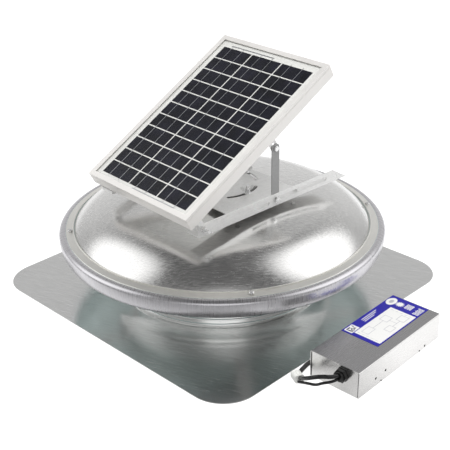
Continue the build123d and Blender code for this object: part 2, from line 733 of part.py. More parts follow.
def hinge_wing_nuts():
    seat = RAIL_OUTER_X + 0.1
    nut = Pos(seat, HINGE_Y, HINGE_Z) * Rot(0, 90, 0) * Rot(0, 0, 62) * wing_nut(BOLT_R + 0.05)
    return mirrored(nut)


# ---------------------------------------------------------------- tilt struts
def strut_x():
    outer = RAIL_OUTER_X - BRACKET_SHEET - GAP
    return outer - STRUT_SHEET, outer


def right_strut():
    """A flat bar with round ends, bolted to the rail's slot below and the panel above."""
    x0, x1 = strut_x()
    half = STRUT_W / 2
    bar = block((x0, x1), (FOOT_Y - half, FOOT_Y + half), (SLOT_Z, STRUT_TOP_Z))
    for z in (SLOT_Z, STRUT_TOP_Z):
        bar += rod_x(x0, x1, FOOT_Y, z, half)
    bar -= rod_x(x0 - 1, x1 + 1, FOOT_Y, SLOT_Z, BOLT_R + RUN_CLEAR)
    return bar - rod_x(x0 - 1, x1 + 1, FOOT_Y, STRUT_TOP_Z, BOLT_R)


def right_foot_bolt():
    """The bolt that slides in the long slot, its washer and its nut inside the rail."""
    x0, x1 = strut_x()
    washer = rod_x(RAIL_OUTER_X + 0.3, RAIL_OUTER_X + 1.5, FOOT_Y, SLOT_Z, 6.5)
    head = hex_x(RAIL_OUTER_X + 1.5, RAIL_OUTER_X + 5.3, FOOT_Y, SLOT_Z, 9)
    shank = rod_x(x0 - 6, RAIL_OUTER_X + 3, FOOT_Y, SLOT_Z, BOLT_R)
    nut = hex_x(x0 - 4.3, x0 - 0.3, FOOT_Y, SLOT_Z, 8)
    nut -= rod_x(x0 - 8, x0 + 1, FOOT_Y, SLOT_Z, NUT_BORE_R)
    return group([washer + head + shank, nut])


def right_strut_top_bolt():
    x0, x1 = strut_x()
    head = rod_x(x1 + 0.05, x1 + 3.4, FOOT_Y, STRUT_TOP_Z, 5.2)
    head = fillet(head.edges().group_by(Axis.X)[-1], 1.5)
    shank = rod_x(x0 - 9, x1 + 1, FOOT_Y, STRUT_TOP_Z, BOLT_R)
    nut_x = x0 - 0.7 - STRUT_SHEET
    nut = hex_x(nut_x - 4, nut_x, FOOT_Y, STRUT_TOP_Z, 8)
    nut -= rod_x(100, 134, FOOT_Y, STRUT_TOP_Z, NUT_BORE_R)
    return group([head + shank, nut])


# ---------------------------------------------------------------- solar panel
def to_panel(y, z):
    """A head-frame point in the panel's own Y and Z."""
    tilt = math.radians(TILT_DEG)
    dy = y - PANEL_FRONT_Y
    dz = z - PANEL_FRONT_Z
    return dy * math.cos(tilt) + dz * math.sin(tilt), dz * math.cos(tilt) - dy * math.sin(tilt)


def frame_section():
    """The bar's section: wall, top lip, glass shelf, bottom flange and a line groove."""
    shelf_z = backsheet_low_z() - 0.1
    wall = block((0, FRAME_WALL), (0, 1), (-PANEL_T, 0))
    lip = block((0, FRAME_LIP), (0, 1), (-LIP_T, 0))
    shelf = block((0, FRAME_LIP), (0, 1), (shelf_z - 1.5, shelf_z))
    flange = block((0, FRAME_FLANGE), (0, 1), (-PANEL_T, -PANEL_T + LIP_T))
    groove = block((-1, 0.6), (-1, 2), (-6.6, -5.4))
    return wall + lip + shelf + flange - groove


def frame_bar(length):
    """A mitred bar along Y with its outer wall at X = 0, growing towards +X."""
    face = frame_section().faces().sort_by(Axis.Y)[0]
    bar = extrude(face, length, dir=(0, 1, 0))
    reach = FRAME_FLANGE + 5
    trim = extrude(Pos(0, 0, -PANEL_T - 1) * make_face(Polyline(
        (0, 0), (reach, reach), (reach, length - reach), (0, length), (0, 0)
    )), PANEL_T + 2)
    return bar & trim


def frame_left():
    return Pos(-PANEL_W / 2, 0, 0) * frame_bar(PANEL_L)


def frame_right():
    return Pos(PANEL_W / 2, PANEL_L, 0) * Rot(0, 0, 180) * frame_bar(PANEL_L)


def frame_front():
    return Pos(PANEL_W / 2, 0, 0) * Rot(0, 0, 90) * frame_bar(PANEL_W)


def frame_rear():
    return Pos(-PANEL_W / 2, PANEL_L, 0) * Rot(0, 0, -90) * frame_bar(PANEL_W)


def laminate(top, thick):
    inset = FRAME_WALL + 0.2
    return block((inset - PANEL_W / 2, PANEL_W / 2 - inset), (inset, PANEL_L - inset), (top - thick, top))


def cell_columns():
    width = (PANEL_W - 2 * CELL_SIDE_MARGIN - (CELL_COLUMNS - 1) * CELL_GAP) / CELL_COLUMNS
    return [(CELL_SIDE_MARGIN - PANEL_W / 2 + i * (width + CELL_GAP), width) for i in range(CELL_COLUMNS)]


def cell_rows():
    run = PANEL_L - CELL_FRONT_MARGIN - CELL_REAR_MARGIN
    depth = (run - (CELL_ROWS - 1) * CELL_GAP) / CELL_ROWS
    return [(CELL_FRONT_MARGIN + i * (depth + CELL_GAP), depth) for i in range(CELL_ROWS)]


def solar_cells():
    top = CELL_PLANE_Z - RIBBON_T
    cells = []
    for x, width in cell_columns():
        for y, depth in cell_rows():
            cells.append(block((x, x + width), (y, y + depth), (top - CELL_T, top)))
    return group(cells)


def cell_ribbons():
    """Two flat wires down each column, with cross ribbons past both ends."""
    top = CELL_PLANE_Z
    wires = []
    for x, width in cell_columns():
        for share in (0.27, 0.66):
            middle = x + share * width
            y0 = CELL_FRONT_MARGIN - 4
            y1 = PANEL_L - CELL_REAR_MARGIN + 4
            wires.append(block((middle - 0.5, middle + 0.5), (y0, y1), (top - RIBBON_T, top)))
    return group(wires)


def end_ribbons():
    """Dark cross ribbons that join the columns beyond the first and last rows."""
    top = CELL_PLANE_Z - RIBBON_T
    columns = cell_columns()
    front = (CELL_FRONT_MARGIN - 7.0, CELL_FRONT_MARGIN - 4.6)
    rear_edge = PANEL_L - CELL_REAR_MARGIN
    rear = (rear_edge + 4.6, rear_edge + 7.0)
    front_x = (columns[1][0] + 0.2 * columns[1][1], columns[2][0] + 0.68 * columns[2][1])
    rear_x = (columns[0][0] + 0.2 * columns[0][1], columns[1][0] + 0.68 * columns[1][1])
    return group([
        block(front_x, front, (top - RIBBON_T, top)),
        block(rear_x, rear, (top - RIBBON_T, top)),
    ])


def backsheet_top_z():
    return CELL_PLANE_Z - RIBBON_T - CELL_T - 0.02


def backsheet_low_z():
    return backsheet_top_z() - BACKSHEET_T


def junction_box():
    z = backsheet_low_z()
    low = z - JUNCTION_H
    y0, y1 = JUNCTION_Y
    wall = JUNCTION_WALL
    shell = block((-JUNCTION_X, JUNCTION_X), (y0, y1), (low, z - SEAT))
    shell = fillet(shell.edges().filter_by(Axis.Z), 5)
    shell -= block((wall - JUNCTION_X, JUNCTION_X - wall), (y0 + wall, y1 - wall), (low - 2, z - 2))
    return shell - rod_y(0, y0 - 12, y0 + 8, z - JUNCTION_GLAND_DROP, 4)


def junction_lid():
    z = backsheet_low_z() - JUNCTION_H
    lid = block((-JUNCTION_X, JUNCTION_X), JUNCTION_Y, (z - 2.6, z - SEAT))
    return fillet(lid.edges().filter_by(Axis.Z), 5)


def junction_gland():
    z = backsheet_low_z() - JUNCTION_GLAND_DROP
    face = JUNCTION_Y[0]
    gland = rod_y(0, face - 12, face - 0.1, z, 6) + rod_y(0, face - 2, face + 2, z, 3.95)
    return gland - rod_y(0, face - 22, face + 8, z, 2.2)


def tab(y, z, x0, reach, slot):
    """An angle tab under the side bar: a pad on the frame and an ear with its bolt hole."""
    x1 = x0 + STRUT_SHEET
    top = -PANEL_T - 0.05
    pad = block((RAIL_OUTER_X - 18, x1), (y - 13, y + 13), (top - STRUT_SHEET, top))
    ear = block((x0, x1), (y - reach, y + reach), (z, top)) + rod_x(x0, x1, y, z, reach)
    hole = rod_x(x0 - 1, x1 + 1, y, z, BOLT_R + RUN_CLEAR)
    if slot:
        wide = BOLT_R + 1.2
        hole = block((x0 - 1, x1 + 1), (y - wide, y + wide), (z, z + slot))
        hole += rod_x(x0 - 1, x1 + 1, y, z, wide)
        hole += rod_x(x0 - 1, x1 + 1, y, z + slot, wide)
    for dy in TAB_SCREW_DY:
        hole += rod_z(TAB_SCREW_X, y + dy, top - 5, top + 1, TAB_SCREW_R)
    return pad + ear - hole


def tab_points():
    hinge = to_panel(HINGE_Y, HINGE_Z)
    strut = to_panel(FOOT_Y, STRUT_TOP_Z)
    return hinge, strut


def hinge_tabs():
    (y, z), _ = tab_points()
    x0, _ = strut_x()
    return mirrored(tab(y, z, x0, 8.0, 0))


def strut_tabs():
    """The ears hold the strut's top bolt in a short slot square to the panel."""
    _, (y, z) = tab_points()
    x0, _ = strut_x()
    return mirrored(tab(y, z, x0 - STRUT_SHEET - 0.4, 8.0, 8.6))


def tab_screws():
    screws = []
    seat = -PANEL_T - STRUT_SHEET - 0.1
    for y, _ in tab_points():
        for dy in TAB_SCREW_DY:
            shank = rod_z(TAB_SCREW_X, y + dy, seat - 1, -PANEL_T + 3.4, TAB_SCREW_R)
            head = rod_z(TAB_SCREW_X, y + dy, seat - 2.3, seat, 3.2)
            screws.append(shank + head)
    return mirrored(group(screws))


def with_screw_holes(bar):
    for y, _ in tab_points():
        for dy in TAB_SCREW_DY:
            for side in (-1, 1):
                bar -= rod_z(side * TAB_SCREW_X, y + dy, -PANEL_T - 5, -PANEL_T + 5, TAB_SCREW_R)
    return bar


# ---------------------------------------------------------------- controller box
def controller_cover():
    """The folded lid: a top and two long sides, with knock-out holes in one side."""
    outer = block((-BOX_W / 2, BOX_W / 2), (-BOX_L / 2, BOX_L / 2), (0.6, BOX_H))
    outer = fillet(outer.edges().filter_by(Axis.Y).group_by(Axis.Z)[-1], COVER_FOLD_R)
    inner = block((SHEET - BOX_W / 2, BOX_W / 2 - SHEET), (-BOX_L, BOX_L), (-1, BOX_H - SHEET))
    cover = outer - inner
    for y, z in COVER_HOLES:
        cover -= rod_x(BOX_W / 2 - 5, BOX_W / 2 + 5, y, z, COVER_HOLE_R)
    for y in COVER_SCREW_Y:
        cover -= rod_x(-BOX_W / 2 - 5, 5 - BOX_W / 2, y, COVER_SCREW_Z, 1.8)
    return cover


def controller_tray():
    """The folded base: a floor and two end walls with small side returns."""
    side = SHEET + 0.1
    floor = block((side - BOX_W / 2, BOX_W / 2 - side), (0.9 - BOX_L / 2, BOX_L / 2 - 0.9), (0, SHEET))
    tray = floor
    for y in COVER_SCREW_Y:
        tray += block((side - BOX_W / 2, 3 - BOX_W / 2), (y - 7, y + 7), (SHEET - 0.1, 20))
        tray -= rod_x(-BOX_W / 2 - 5, 5 - BOX_W / 2, y, COVER_SCREW_Z, 1.8)
    for end in (-1, 1):
        y_out = end * (BOX_L / 2 - 0.9)
        y_in = y_out - end * SHEET
        y_return = y_out - end * 14
        top = BOX_H - SHEET - END_WALL_TOP_SEAM
        edge = BOX_W / 2 - SHEET - END_WALL_SEAM
        tray += block((-edge, edge), tuple(sorted((y_out, y_in))), (0, top))
        for x0 in (-edge, edge - SHEET):
            tray += block((x0, x0 + SHEET), tuple(sorted((y_out, y_return))), (SHEET - 0.1, top))
    return tray - rod_y(GLAND_X, -BOX_L / 2 - 5, 10 - BOX_L / 2, GLAND_Z, 8.0)


def controller_screws():
    """Screws that hold the cover's hidden side to tabs on the tray."""
    screws = []
    for y in COVER_SCREW_Y:
        head = rod_x(-BOX_W / 2 - 1.8, -BOX_W / 2 - 0.02, y, COVER_SCREW_Z, 3.2)
        screws.append(head + rod_x(-BOX_W / 2 - 1, 6 - BOX_W / 2, y, COVER_SCREW_Z, 1.8))
    return group(screws)


def controller_label():
    return block(LABEL_X, LABEL_Y, (BOX_H + 0.02, BOX_H + 0.3))


def circuit_board():
    board = block((-40, 40), (-60, 90), (9, 10.6))
    coil = rod_z(-12, 60, 10.6, 30, 15)
    sink = block((-36, -30), (-40, 30), (10.6, 34))
    cap = rod_z(20, 20, 10.6, 32, 8)
    legs = [rod_z(x, y, SHEET, 9, 2.5) for x in (-36, 36) for y in (-55, 85)]
    for piece in [coil, sink, cap] + legs:
        board += piece
    return board


def hex_y(y0, y1, across):
    """A hexagonal prism on the gland's axis."""
    prism = extrude(RegularPolygon(across / 2, 6, major_radius=False), y1 - y0)
    return Pos(GLAND_X, y1, GLAND_Z) * Rot(90, 0, 0) * prism


def controller_gland():
    """The gland's body: a hexagon flange on the end wall and a threaded barrel."""
    face = 0.9 - BOX_L / 2
    body = hex_y(face - 4.5, face - 0.05, 23)
    body += rod_y(GLAND_X, face - 9, face + 6, GLAND_Z, 7.95)
    return body - rod_y(GLAND_X, face - 12, face + 12, GLAND_Z, 6.4)


def controller_gland_nut():
    """The domed nut: grip ribs, a rounded nose and a soft seal that the leads pass into."""
    face = 0.9 - BOX_L / 2
    end = -BOX_L / 2 - GLAND_BODY_L
    nut = hex_y(end + 3.5, face - 4.55, 21)
    nut += rod_y(GLAND_X, end, end + 6, GLAND_Z, 9.2)
    nut = fillet(nut.edges().group_by(Axis.Y)[0], 1.6)
    return nut - rod_y(GLAND_X, end + 4.5, face - 2, GLAND_Z, 8.0)


# ---------------------------------------------------------------- leads of the controller
SUPPLY_LEAD_R = 3.5
SIGNAL_LEAD_R = 2.4
SLEEVED_LEAD_R = 3.9
CONNECTOR_AT = (333.8, -164.0, 8.0)
CONNECTOR_YAW_DEG = -25.0

SUPPLY_POINTS = [
    (407.6, -148.0, 38.3), (405.7, -160.7, 39.6), (393.4, -176.4, 43.4),
    (375.9, -183.1, 35.6), (357.9, -176.5, 21.9), (341.0, -166.0, 9.6),
]
SIGNAL_POINTS = [
    (408.2, -148.0, 32.0), (406.9, -164.4, 33.2), (393.5, -173.9, 29.3),
    (379.3, -171.8, 17.1), (360.4, -171.2, 11.5), (342.0, -170.5, 4.6),
]
SLEEVED_POINTS = [
    (331.0, -159.0, 8.6), (325.4, -140.0, 7.6), (320.4, -117.0, 6.0), (322.5, -90.0, 4.4),
    (321.0, -58.0, 4.2), (324.0, -24.0, 4.2), (321.8, 8.0, 4.2), (323.2, 34.0, 4.6),
]


def lead_path(points, name):
    """Straight runs joined by arcs as large as the runs allow."""
    stops = [Vector(*p) for p in points]
    radii = []
    for a, b, c in zip(stops, stops[1:], stops[2:]):
        turn = math.radians((b - a).get_angle(c - b))
        shorter = min((b - a).length, (c - b).length)
        radii.append(0.45 * shorter / math.tan(turn / 2))
    print(name, "radii", [round(r, 1) for r in radii])
    return FilletPolyline(*points, radius=radii)


def lead(points, radius, name):
    path = lead_path(points, name)
    section = Plane(origin=path @ 0, z_dir=path % 0) * Circle(radius)
    tube = sweep(section, path=path)
    print(name, "length", round(path.length, 1), "volume ratio",
          round(tube.volume / (math.pi * radius ** 2 * path.length), 4))
    return tube


def lead_connector():
    """White plug housing that gathers the leads, lying on its side."""
    body = Box(17, 17, 15)
    body = fillet(body.edges().filter_by(Axis.X), 5)
    key = Pos(-10, 0, -1) * Box(4, 10, 9)
    latch = Pos(1, 0, 7.8) * Box(9, 5, 2)
    hole = Pos(-5, 0, 8) * Cylinder(1.5, 8)
    return Pos(*CONNECTOR_AT) * Rot(0, 0, CONNECTOR_YAW_DEG) * (body + key + latch - hole)


def sleeved_plug():
    """Inline plug at the hidden end of the sleeved lead."""
    plug = Pos(0, 14, 0) * Box(14, 28, 9)
    plug = fillet(plug.edges().filter_by(Axis.Y), 2)
    pins = Pos(-3.2, 32, 0) * Box(1.6, 8, 4) + Pos(3.2, 32, 0) * Box(1.6, 8, 4)
    return Pos(*SLEEVED_POINTS[-1]) * (plug + pins)


# ---------------------------------------------------------------- write the parts
os.makedirs("parts", exist_ok=True)

save("roof_flashing", roof_flashing())
save("throat_collar", collar_with_bores())
save("bird_screen", bird_screen())
save("hood_dome", hood_dome())
save("hood_rim", hood_rim())
save("hood_straps", hood_straps())
save("hood_strap_fasteners", group([hood_screws(), strap_rivets()]))
save("motor_spider", motor_spider())
save("motor_housing", motor_housing())
save("motor_stator", motor_stator())
save("motor_end_cap", motor_end_cap())
save("motor_bearing", motor_bearing())
save("motor_mount_bolts", group([motor_bolts(), spider_bolts()]))
save("motor_cable_gland", motor_cable_gland())
save("swivel_studs", swivel_studs())
save("stud_spacers", stud_spacers())
save("swivel_wing_nuts", swivel_wing_nuts())

save("motor_shaft", motor_shaft())
save("motor_rotor", motor_rotor())
save("fan_hub", fan_hub())
save("fan_blades", fan_blades())
save("fan_hub_fasteners", fan_hub_fasteners())

save("bracket_base_plate", bracket_base_plate(), head_place)
save("right_rail", right_rail(RIGHT_TOE_H), head_place)
save("left_rail", mirror(right_rail(LEFT_TOE_H), Plane.YZ), head_place)
save("rail_bolts", rail_bolts(), head_place)
save("hinge_bolts", hinge_bolts(), head_place)
save("hinge_wing_nuts", hinge_wing_nuts(), head_place)
save("right_strut", right_strut(), head_place)
save("left_strut", mirror(right_strut(), Plane.YZ), head_place)
save("right_foot_bolt", right_foot_bolt(), head_place)
save("left_foot_bolt", mirror(right_foot_bolt(), Plane.YZ), head_place)
save("right_strut_top_bolt", right_strut_top_bolt(), head_place)
save("left_strut_top_bolt", mirror(right_strut_top_bolt(), Plane.YZ), head_place)

save("panel_frame_left", with_screw_holes(frame_left()), panel_place)
save("panel_frame_right", with_screw_holes(frame_right()), panel_place)
save("panel_frame_front", with_screw_holes(frame_front()), panel_place)
save("panel_frame_rear", frame_rear(), panel_place)
save("panel_glass", laminate(GLASS_TOP_Z, GLASS_T), panel_place)
save("solar_cells", solar_cells(), panel_place)
save("cell_ribbons", group([cell_ribbons(), end_ribbons()]), panel_place)
save("panel_backsheet", laminate(backsheet_top_z(), BACKSHEET_T), panel_place)
save("junction_box", junction_box(), panel_place)
save("junction_lid", junction_lid(), panel_place)
save("junction_gland", junction_gland(), panel_place)
save("hinge_tabs", hinge_tabs(), panel_place)
save("strut_tabs", strut_tabs(), panel_place)
save("tab_screws", tab_screws(), panel_place)

save("controller_cover", controller_cover(), box_place)
save("controller_tray", controller_tray(), box_place)
save("controller_label", controller_label(), box_place)
save("controller_screws", controller_screws(), box_place)
save("circuit_board", circuit_board(), box_place)
save("controller_gland", controller_gland(), box_place)
save("controller_gland_nut", controller_gland_nut(), box_place)
save("supply_lead", lead(SUPPLY_POINTS, SUPPLY_LEAD_R, "supply_lead"))
save("signal_lead", lead(SIGNAL_POINTS, SIGNAL_LEAD_R, "signal_lead"))
save("sleeved_lead", lead(SLEEVED_POINTS, SLEEVED_LEAD_R, "sleeved_lead"))
save("lead_connector", lead_connector())
save("sleeved_plug", sleeved_plug())
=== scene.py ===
import bpy
import bmesh
import math
import random
from mathutils import Matrix, Vector


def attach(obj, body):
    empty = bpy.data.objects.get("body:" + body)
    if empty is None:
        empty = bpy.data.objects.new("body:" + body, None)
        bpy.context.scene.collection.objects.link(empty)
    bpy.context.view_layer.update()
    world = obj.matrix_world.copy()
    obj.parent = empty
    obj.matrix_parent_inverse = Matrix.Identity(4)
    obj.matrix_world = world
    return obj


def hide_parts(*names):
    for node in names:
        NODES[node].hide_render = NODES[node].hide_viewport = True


# Looks for the solar attic fan.  Metres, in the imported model's frame: the origin is on the
# fan's axis at the underside of the flashing, +Z is up and the panel's low edge faces -Y.

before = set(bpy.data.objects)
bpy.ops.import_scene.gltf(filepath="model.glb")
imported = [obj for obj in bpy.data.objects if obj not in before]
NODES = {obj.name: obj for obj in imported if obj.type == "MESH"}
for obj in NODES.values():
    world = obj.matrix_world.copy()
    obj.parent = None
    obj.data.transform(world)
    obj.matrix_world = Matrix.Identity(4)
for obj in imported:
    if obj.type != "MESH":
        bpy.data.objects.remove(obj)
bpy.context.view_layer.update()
SCENE = bpy.context.scene

# ---- camera
CAMERA_AT = Vector((1.1711, -1.1624, 0.9408))
CAMERA_TARGET = Vector((0.00696, 0.00092, 0.11311))
CAMERA_ROLL_DEG = -0.98
CAMERA_LENS_MM = 77.0
CAMERA_SENSOR_MM = 36
CAMERA_CLIP = 0.05

# ---- fine scales and gloss that one material alone uses
SPANGLE_SCALE = 260
SLEEVE_RIB_SCALE = 110
GLASS_IOR = 1.25

# ---- floor and light: lobes are azimuth, elevation, outer and inner cosine, and gain
FLOOR_REACH = 40.0
FLOOR_Z = -0.0004
FLOOR_TONE = (0.30, 0.30, 0.30)
FLOOR_SEEN = 0.95
BACKDROP_SEEN = 1.2
FLOOR_LIT = 0.7
FLOOR_TURN_DEG = -60
FLOOR_FADE = (0.22, 0.46)
FILL_WATTS = 60
FILL_AT = Vector((0.6, -0.6, 2.6))
FILL_SIZE = 2.4
FILL_TINT = (1, 1, 1)
LAMP_AIM = Vector((0, 0, 0.25))
LOW_WATTS = 14
LOW_AT = Vector((0.2, 1.5, 0.12))
LOW_SIZE = 0.8
LOW_TINT = (0.86, 0.94, 1.0)
SKY_LOW = 0.46
SKY_TOP = 0.12
SKY_FADE_FROM = 0.1
LIGHT_LOBES = [
    (58, 44, 0.84, 0.965, 1.25),
    (-146, 38, 0.86, 0.97, 1.15),
    (135, 20, 0.60, 0.97, 0.26),
    (-45, 34, 0.90, 0.98, 0.75),
]

# ---- placing of the controller box, as in the CAD
BOX_YAW = math.radians(1.7)
BOX_AT = (0.3854, -0.0197, 0)
BOX_TOP = 0.0499

# ---- hood, collar and flashing profiles, as in the CAD
SHEET = 0.0012
BAND_IN = (0.2806, 0.1284)
BAND_OUT = (0.297, 0.1254)
BAND_BEAD_R = 0.0012
ROLL_OUT = 0.012
ROLL_HEIGHT = 0.036
ROLL_TURN = 0.008
ROLL_START_DEG = 82
ROLL_TURN_STEPS = 20
ROLL_FALL_STEPS = 32
BEAD_STEPS = 20
STEP_WIDTH = 0.002
STEP_DEPTH = 0.0009
STEP_SHARES = (0.6, 0.3)
CROWN_R = 0.955
CROWN_EDGE = 0.2
DOME_APEX = 0.195
DOME_FLANGE_R = 0.2915
DOME_FLANGE_DROP = 0.0006
DOME_EDGE_IN = 0.0008
DOME_EDGE_DROP = 0.001
DOME_STEPS = 40
COLLAR_R = 0.2035
COLLAR_LOW = 0.0084
COLLAR_TOP = 0.118
COLLAR_BEAD_R = 0.002
RIDGE_FIRST = 0.015
RIDGE_STEP = 0.010
RIDGE_COUNT = 6
RIDGE_HALF = 0.0026
RIDGE_OUT = 0.0018
RIDGE_POINTS = 8
FLASHING_HALF = 0.311
FLASHING_CORNER_R = 0.066
FLARE_OUTER_R = 0.236
FLARE_TOP_R = 0.206
FLARE_TOP_Z = 0.007
FLARE_STEPS = 16
FLAT_SHARES = (0.25, 0.5, 0.75, 1.0)
NECK_R = 0.2022
NECK_TOP_Z = 0.020
LATHE_STEPS = 384
FOLD_ANGLE = math.radians(32)

# ---- leads, the same points as in the CAD, with each lead's thickness and length
SUPPLY_DIAMETER = 0.007
SIGNAL_DIAMETER = 0.0048
SLEEVED_DIAMETER = 0.0078
SUPPLY_POINTS = [
    (0.4076, -0.148, 0.0383), (0.4057, -0.1607, 0.0396), (0.3934, -0.1764, 0.0434),
    (0.3759, -0.1831, 0.0356), (0.3579, -0.1765, 0.0219), (0.341, -0.166, 0.0096),
]
SIGNAL_POINTS = [
    (0.4082, -0.148, 0.032), (0.4069, -0.1644, 0.0332), (0.3935, -0.1739, 0.0293),
    (0.3793, -0.1718, 0.0171), (0.3604, -0.1712, 0.0115), (0.342, -0.1705, 0.0046),
]
SLEEVED_POINTS = [
    (0.331, -0.159, 0.0086), (0.3254, -0.14, 0.0076), (0.3204, -0.117, 0.006), (0.3225, -0.09, 0.0044),
    (0.321, -0.058, 0.0042), (0.324, -0.024, 0.0042), (0.3218, 0.008, 0.0042), (0.3232, 0.034, 0.0046),
]


# ---------------------------------------------------------------- node helpers
class Mat:
    """A node material with short calls for the nodes this scene uses."""

    def __init__(self, name):
        self.mat = bpy.data.materials.new(name)
        self.mat.use_nodes = True
        self.tree = self.mat.node_tree
        self.tree.nodes.clear()
        self.out = self.add("ShaderNodeOutputMaterial")
        self.bsdf = self.add("ShaderNodeBsdfPrincipled")
        self.link(self.bsdf.outputs[0], self.out.inputs["Surface"])

    def add(self, kind, **settings):
        node = self.tree.nodes.new(kind)
        for key, value in settings.items():
            setattr(node, key, value)
        return node

    def link(self, a, b):
        self.tree.links.new(a, b)

    def coords(self, scale=(1, 1, 1), turn=(0, 0, 0), shift=(0, 0, 0)):
        source = self.add("ShaderNodeTexCoord")
        mapping = self.add("ShaderNodeMapping", vector_type="TEXTURE")
        mapping.inputs["Scale"].default_value = tuple(1 / size for size in scale)
        mapping.inputs["Rotation"].default_value = turn
        mapping.inputs["Location"].default_value = shift
        self.link(source.outputs["Object"], mapping.inputs["Vector"])
        return mapping.outputs["Vector"]

    def noise(self, vector, scale, detail=3.0, rough=0.55):
        node = self.add("ShaderNodeTexNoise")
        node.inputs["Scale"].default_value = scale
        node.inputs["Detail"].default_value = detail
        node.inputs["Roughness"].default_value = rough
        self.link(vector, node.inputs["Vector"])
        return node.outputs["Fac"]

    def ramp(self, value, low, high, from_low=0.3, from_high=0.7):
        node = self.add("ShaderNodeMapRange")
        node.inputs["From Min"].default_value = from_low
        node.inputs["From Max"].default_value = from_high
        node.inputs["To Min"].default_value = low
        node.inputs["To Max"].default_value = high
        self.link(value, node.inputs["Value"])
        return node.outputs["Result"]

    def times(self, value, factor):
        node = self.add("ShaderNodeMath", operation="MULTIPLY")
        node.inputs[1].default_value = factor
        self.link(value, node.inputs[0])
        return node.outputs[0]

    def colours(self, value, low, high, from_low=0.3, from_high=0.7):
        node = self.add("ShaderNodeValToRGB")
        node.color_ramp.elements[0].position = from_low
        node.color_ramp.elements[1].position = from_high
        node.color_ramp.elements[0].color = (*low, 1)
        node.color_ramp.elements[1].color = (*high, 1)
        self.link(value, node.inputs["Fac"])
        return node.outputs["Color"]

    def bump(self, height, strength, distance):
        node = self.add("ShaderNodeBump")
        node.inputs["Strength"].default_value = strength
        node.inputs["Distance"].default_value = distance
        self.link(height, node.inputs["Height"])
        self.link(node.outputs["Normal"], self.bsdf.inputs["Normal"])

    def blend(self, share, low, high):
        node = self.add("ShaderNodeMix", data_type="RGBA")
        self.link(share, node.inputs["Factor"])
        self.link(low, node.inputs["A"])
        self.link(high, node.inputs["B"])
        return node.outputs["Result"]

    def facing_up(self):
        """1 on faces that look up, 0 on the sides."""
        normal = self.add("ShaderNodeNewGeometry")
        split = self.add("ShaderNodeSeparateXYZ")
        self.link(normal.outputs["True Normal"], split.inputs[0])
        return self.ramp(split.outputs["Z"], 0, 1, 0.75, 0.95)

    def set(self, **values):
        for key, value in values.items():
            self.bsdf.inputs[key.replace("_", " ")].default_value = value

    def feed(self, socket, output):
        self.link(output, self.bsdf.inputs[socket])


def scaled(colour, factor):
    return tuple(min(1.0, c * factor) for c in colour)


def brushed(name, colour, rough, grain=(60, 900, 900), turn=0, spread=0.05, depth=0.000012, tone=0.06,
            top=None):
    """Rolled or brushed metal: long fine streaks in tone, roughness and height.

    top is a darker tone painted on faces that look up, as painted shade.
    """
    m = Mat(name)
    m.set(Metallic=1.0)
    streaks = m.noise(m.coords(grain, (0, 0, math.radians(turn))), 1.0, 3.0, 0.6)
    clouds = m.noise(m.coords((9, 9, 9)), 1.0, 2.0)
    tinted = m.colours(streaks, scaled(colour, 1 - tone), scaled(colour, 1 + tone))
    # Painted shade: faces that look up take the darker top tone.
    if top:
        upper = m.colours(streaks, scaled(top, 1 - tone), scaled(top, 1 + tone))
        tinted = m.blend(m.facing_up(), tinted, upper)
    m.feed("Base Color", tinted)
    mixed = m.add("ShaderNodeMath", operation="ADD")
    m.link(m.ramp(streaks, rough - spread, rough + spread), mixed.inputs[0])
    m.link(m.ramp(clouds, -spread / 2, spread / 2), mixed.inputs[1])
    m.feed("Roughness", mixed.outputs[0])
    m.bump(streaks, 0.5, depth)
    return m.mat


def spun(name, colour, rough, around=9, across=900, spread=0.05, tone=0.05, depth=0.000008):
    """Spun metal: a grain laid out by angle and by height, as the lathe leaves it.

    around is the grain per radian and across the grain per metre along the profile.
    """
    m = Mat(name)
    m.set(Metallic=1.0)
    point = m.coords()
    split = m.add("ShaderNodeSeparateXYZ")
    m.link(point, split.inputs[0])
    flat = m.add("ShaderNodeVectorMath", operation="MULTIPLY")
    m.link(point, flat.inputs[0])
    flat.inputs[1].default_value = (1, 1, 0)
    radius = m.add("ShaderNodeVectorMath", operation="LENGTH")
    m.link(flat.outputs["Vector"], radius.inputs[0])
    angle = m.add("ShaderNodeMath", operation="ARCTAN2")
    m.link(split.outputs["Y"], angle.inputs[0])
    m.link(split.outputs["X"], angle.inputs[1])
    grain = m.add("ShaderNodeCombineXYZ")
    for socket, output, scale in (
        ("X", radius.outputs["Value"], across),
        ("Y", angle.outputs[0], around),
        ("Z", split.outputs["Z"], across),
    ):
        m.link(m.times(output, scale), grain.inputs[socket])
    streaks = m.noise(grain.outputs["Vector"], 1.0, 3.0, 0.6)
    m.feed("Base Color", m.colours(streaks, scaled(colour, 1 - tone), scaled(colour, 1 + tone)))
    m.feed("Roughness", m.ramp(streaks, rough - spread, rough + spread))
    m.bump(streaks, 0.5, depth)
    return m.mat


def moulded(name, colour, rough, grain=2500, tone=0.15, coat=0.0):
    """Moulded plastic or rubber: a fine skin texture and slow changes of gloss."""
    m = Mat(name)
    skin = m.noise(m.coords((grain, grain, grain)), 1.0, 2.0)
    slow = m.noise(m.coords((70, 70, 70)), 1.0, 2.0)
    m.feed("Base Color", m.colours(slow, scaled(colour, 1 - tone), scaled(colour, 1 + tone)))
    m.feed("Roughness", m.ramp(slow, rough - 0.06, rough + 0.06))
    m.bump(skin, 0.2, 0.00003)
    m.set(Coat_Weight=coat)
    return m.mat


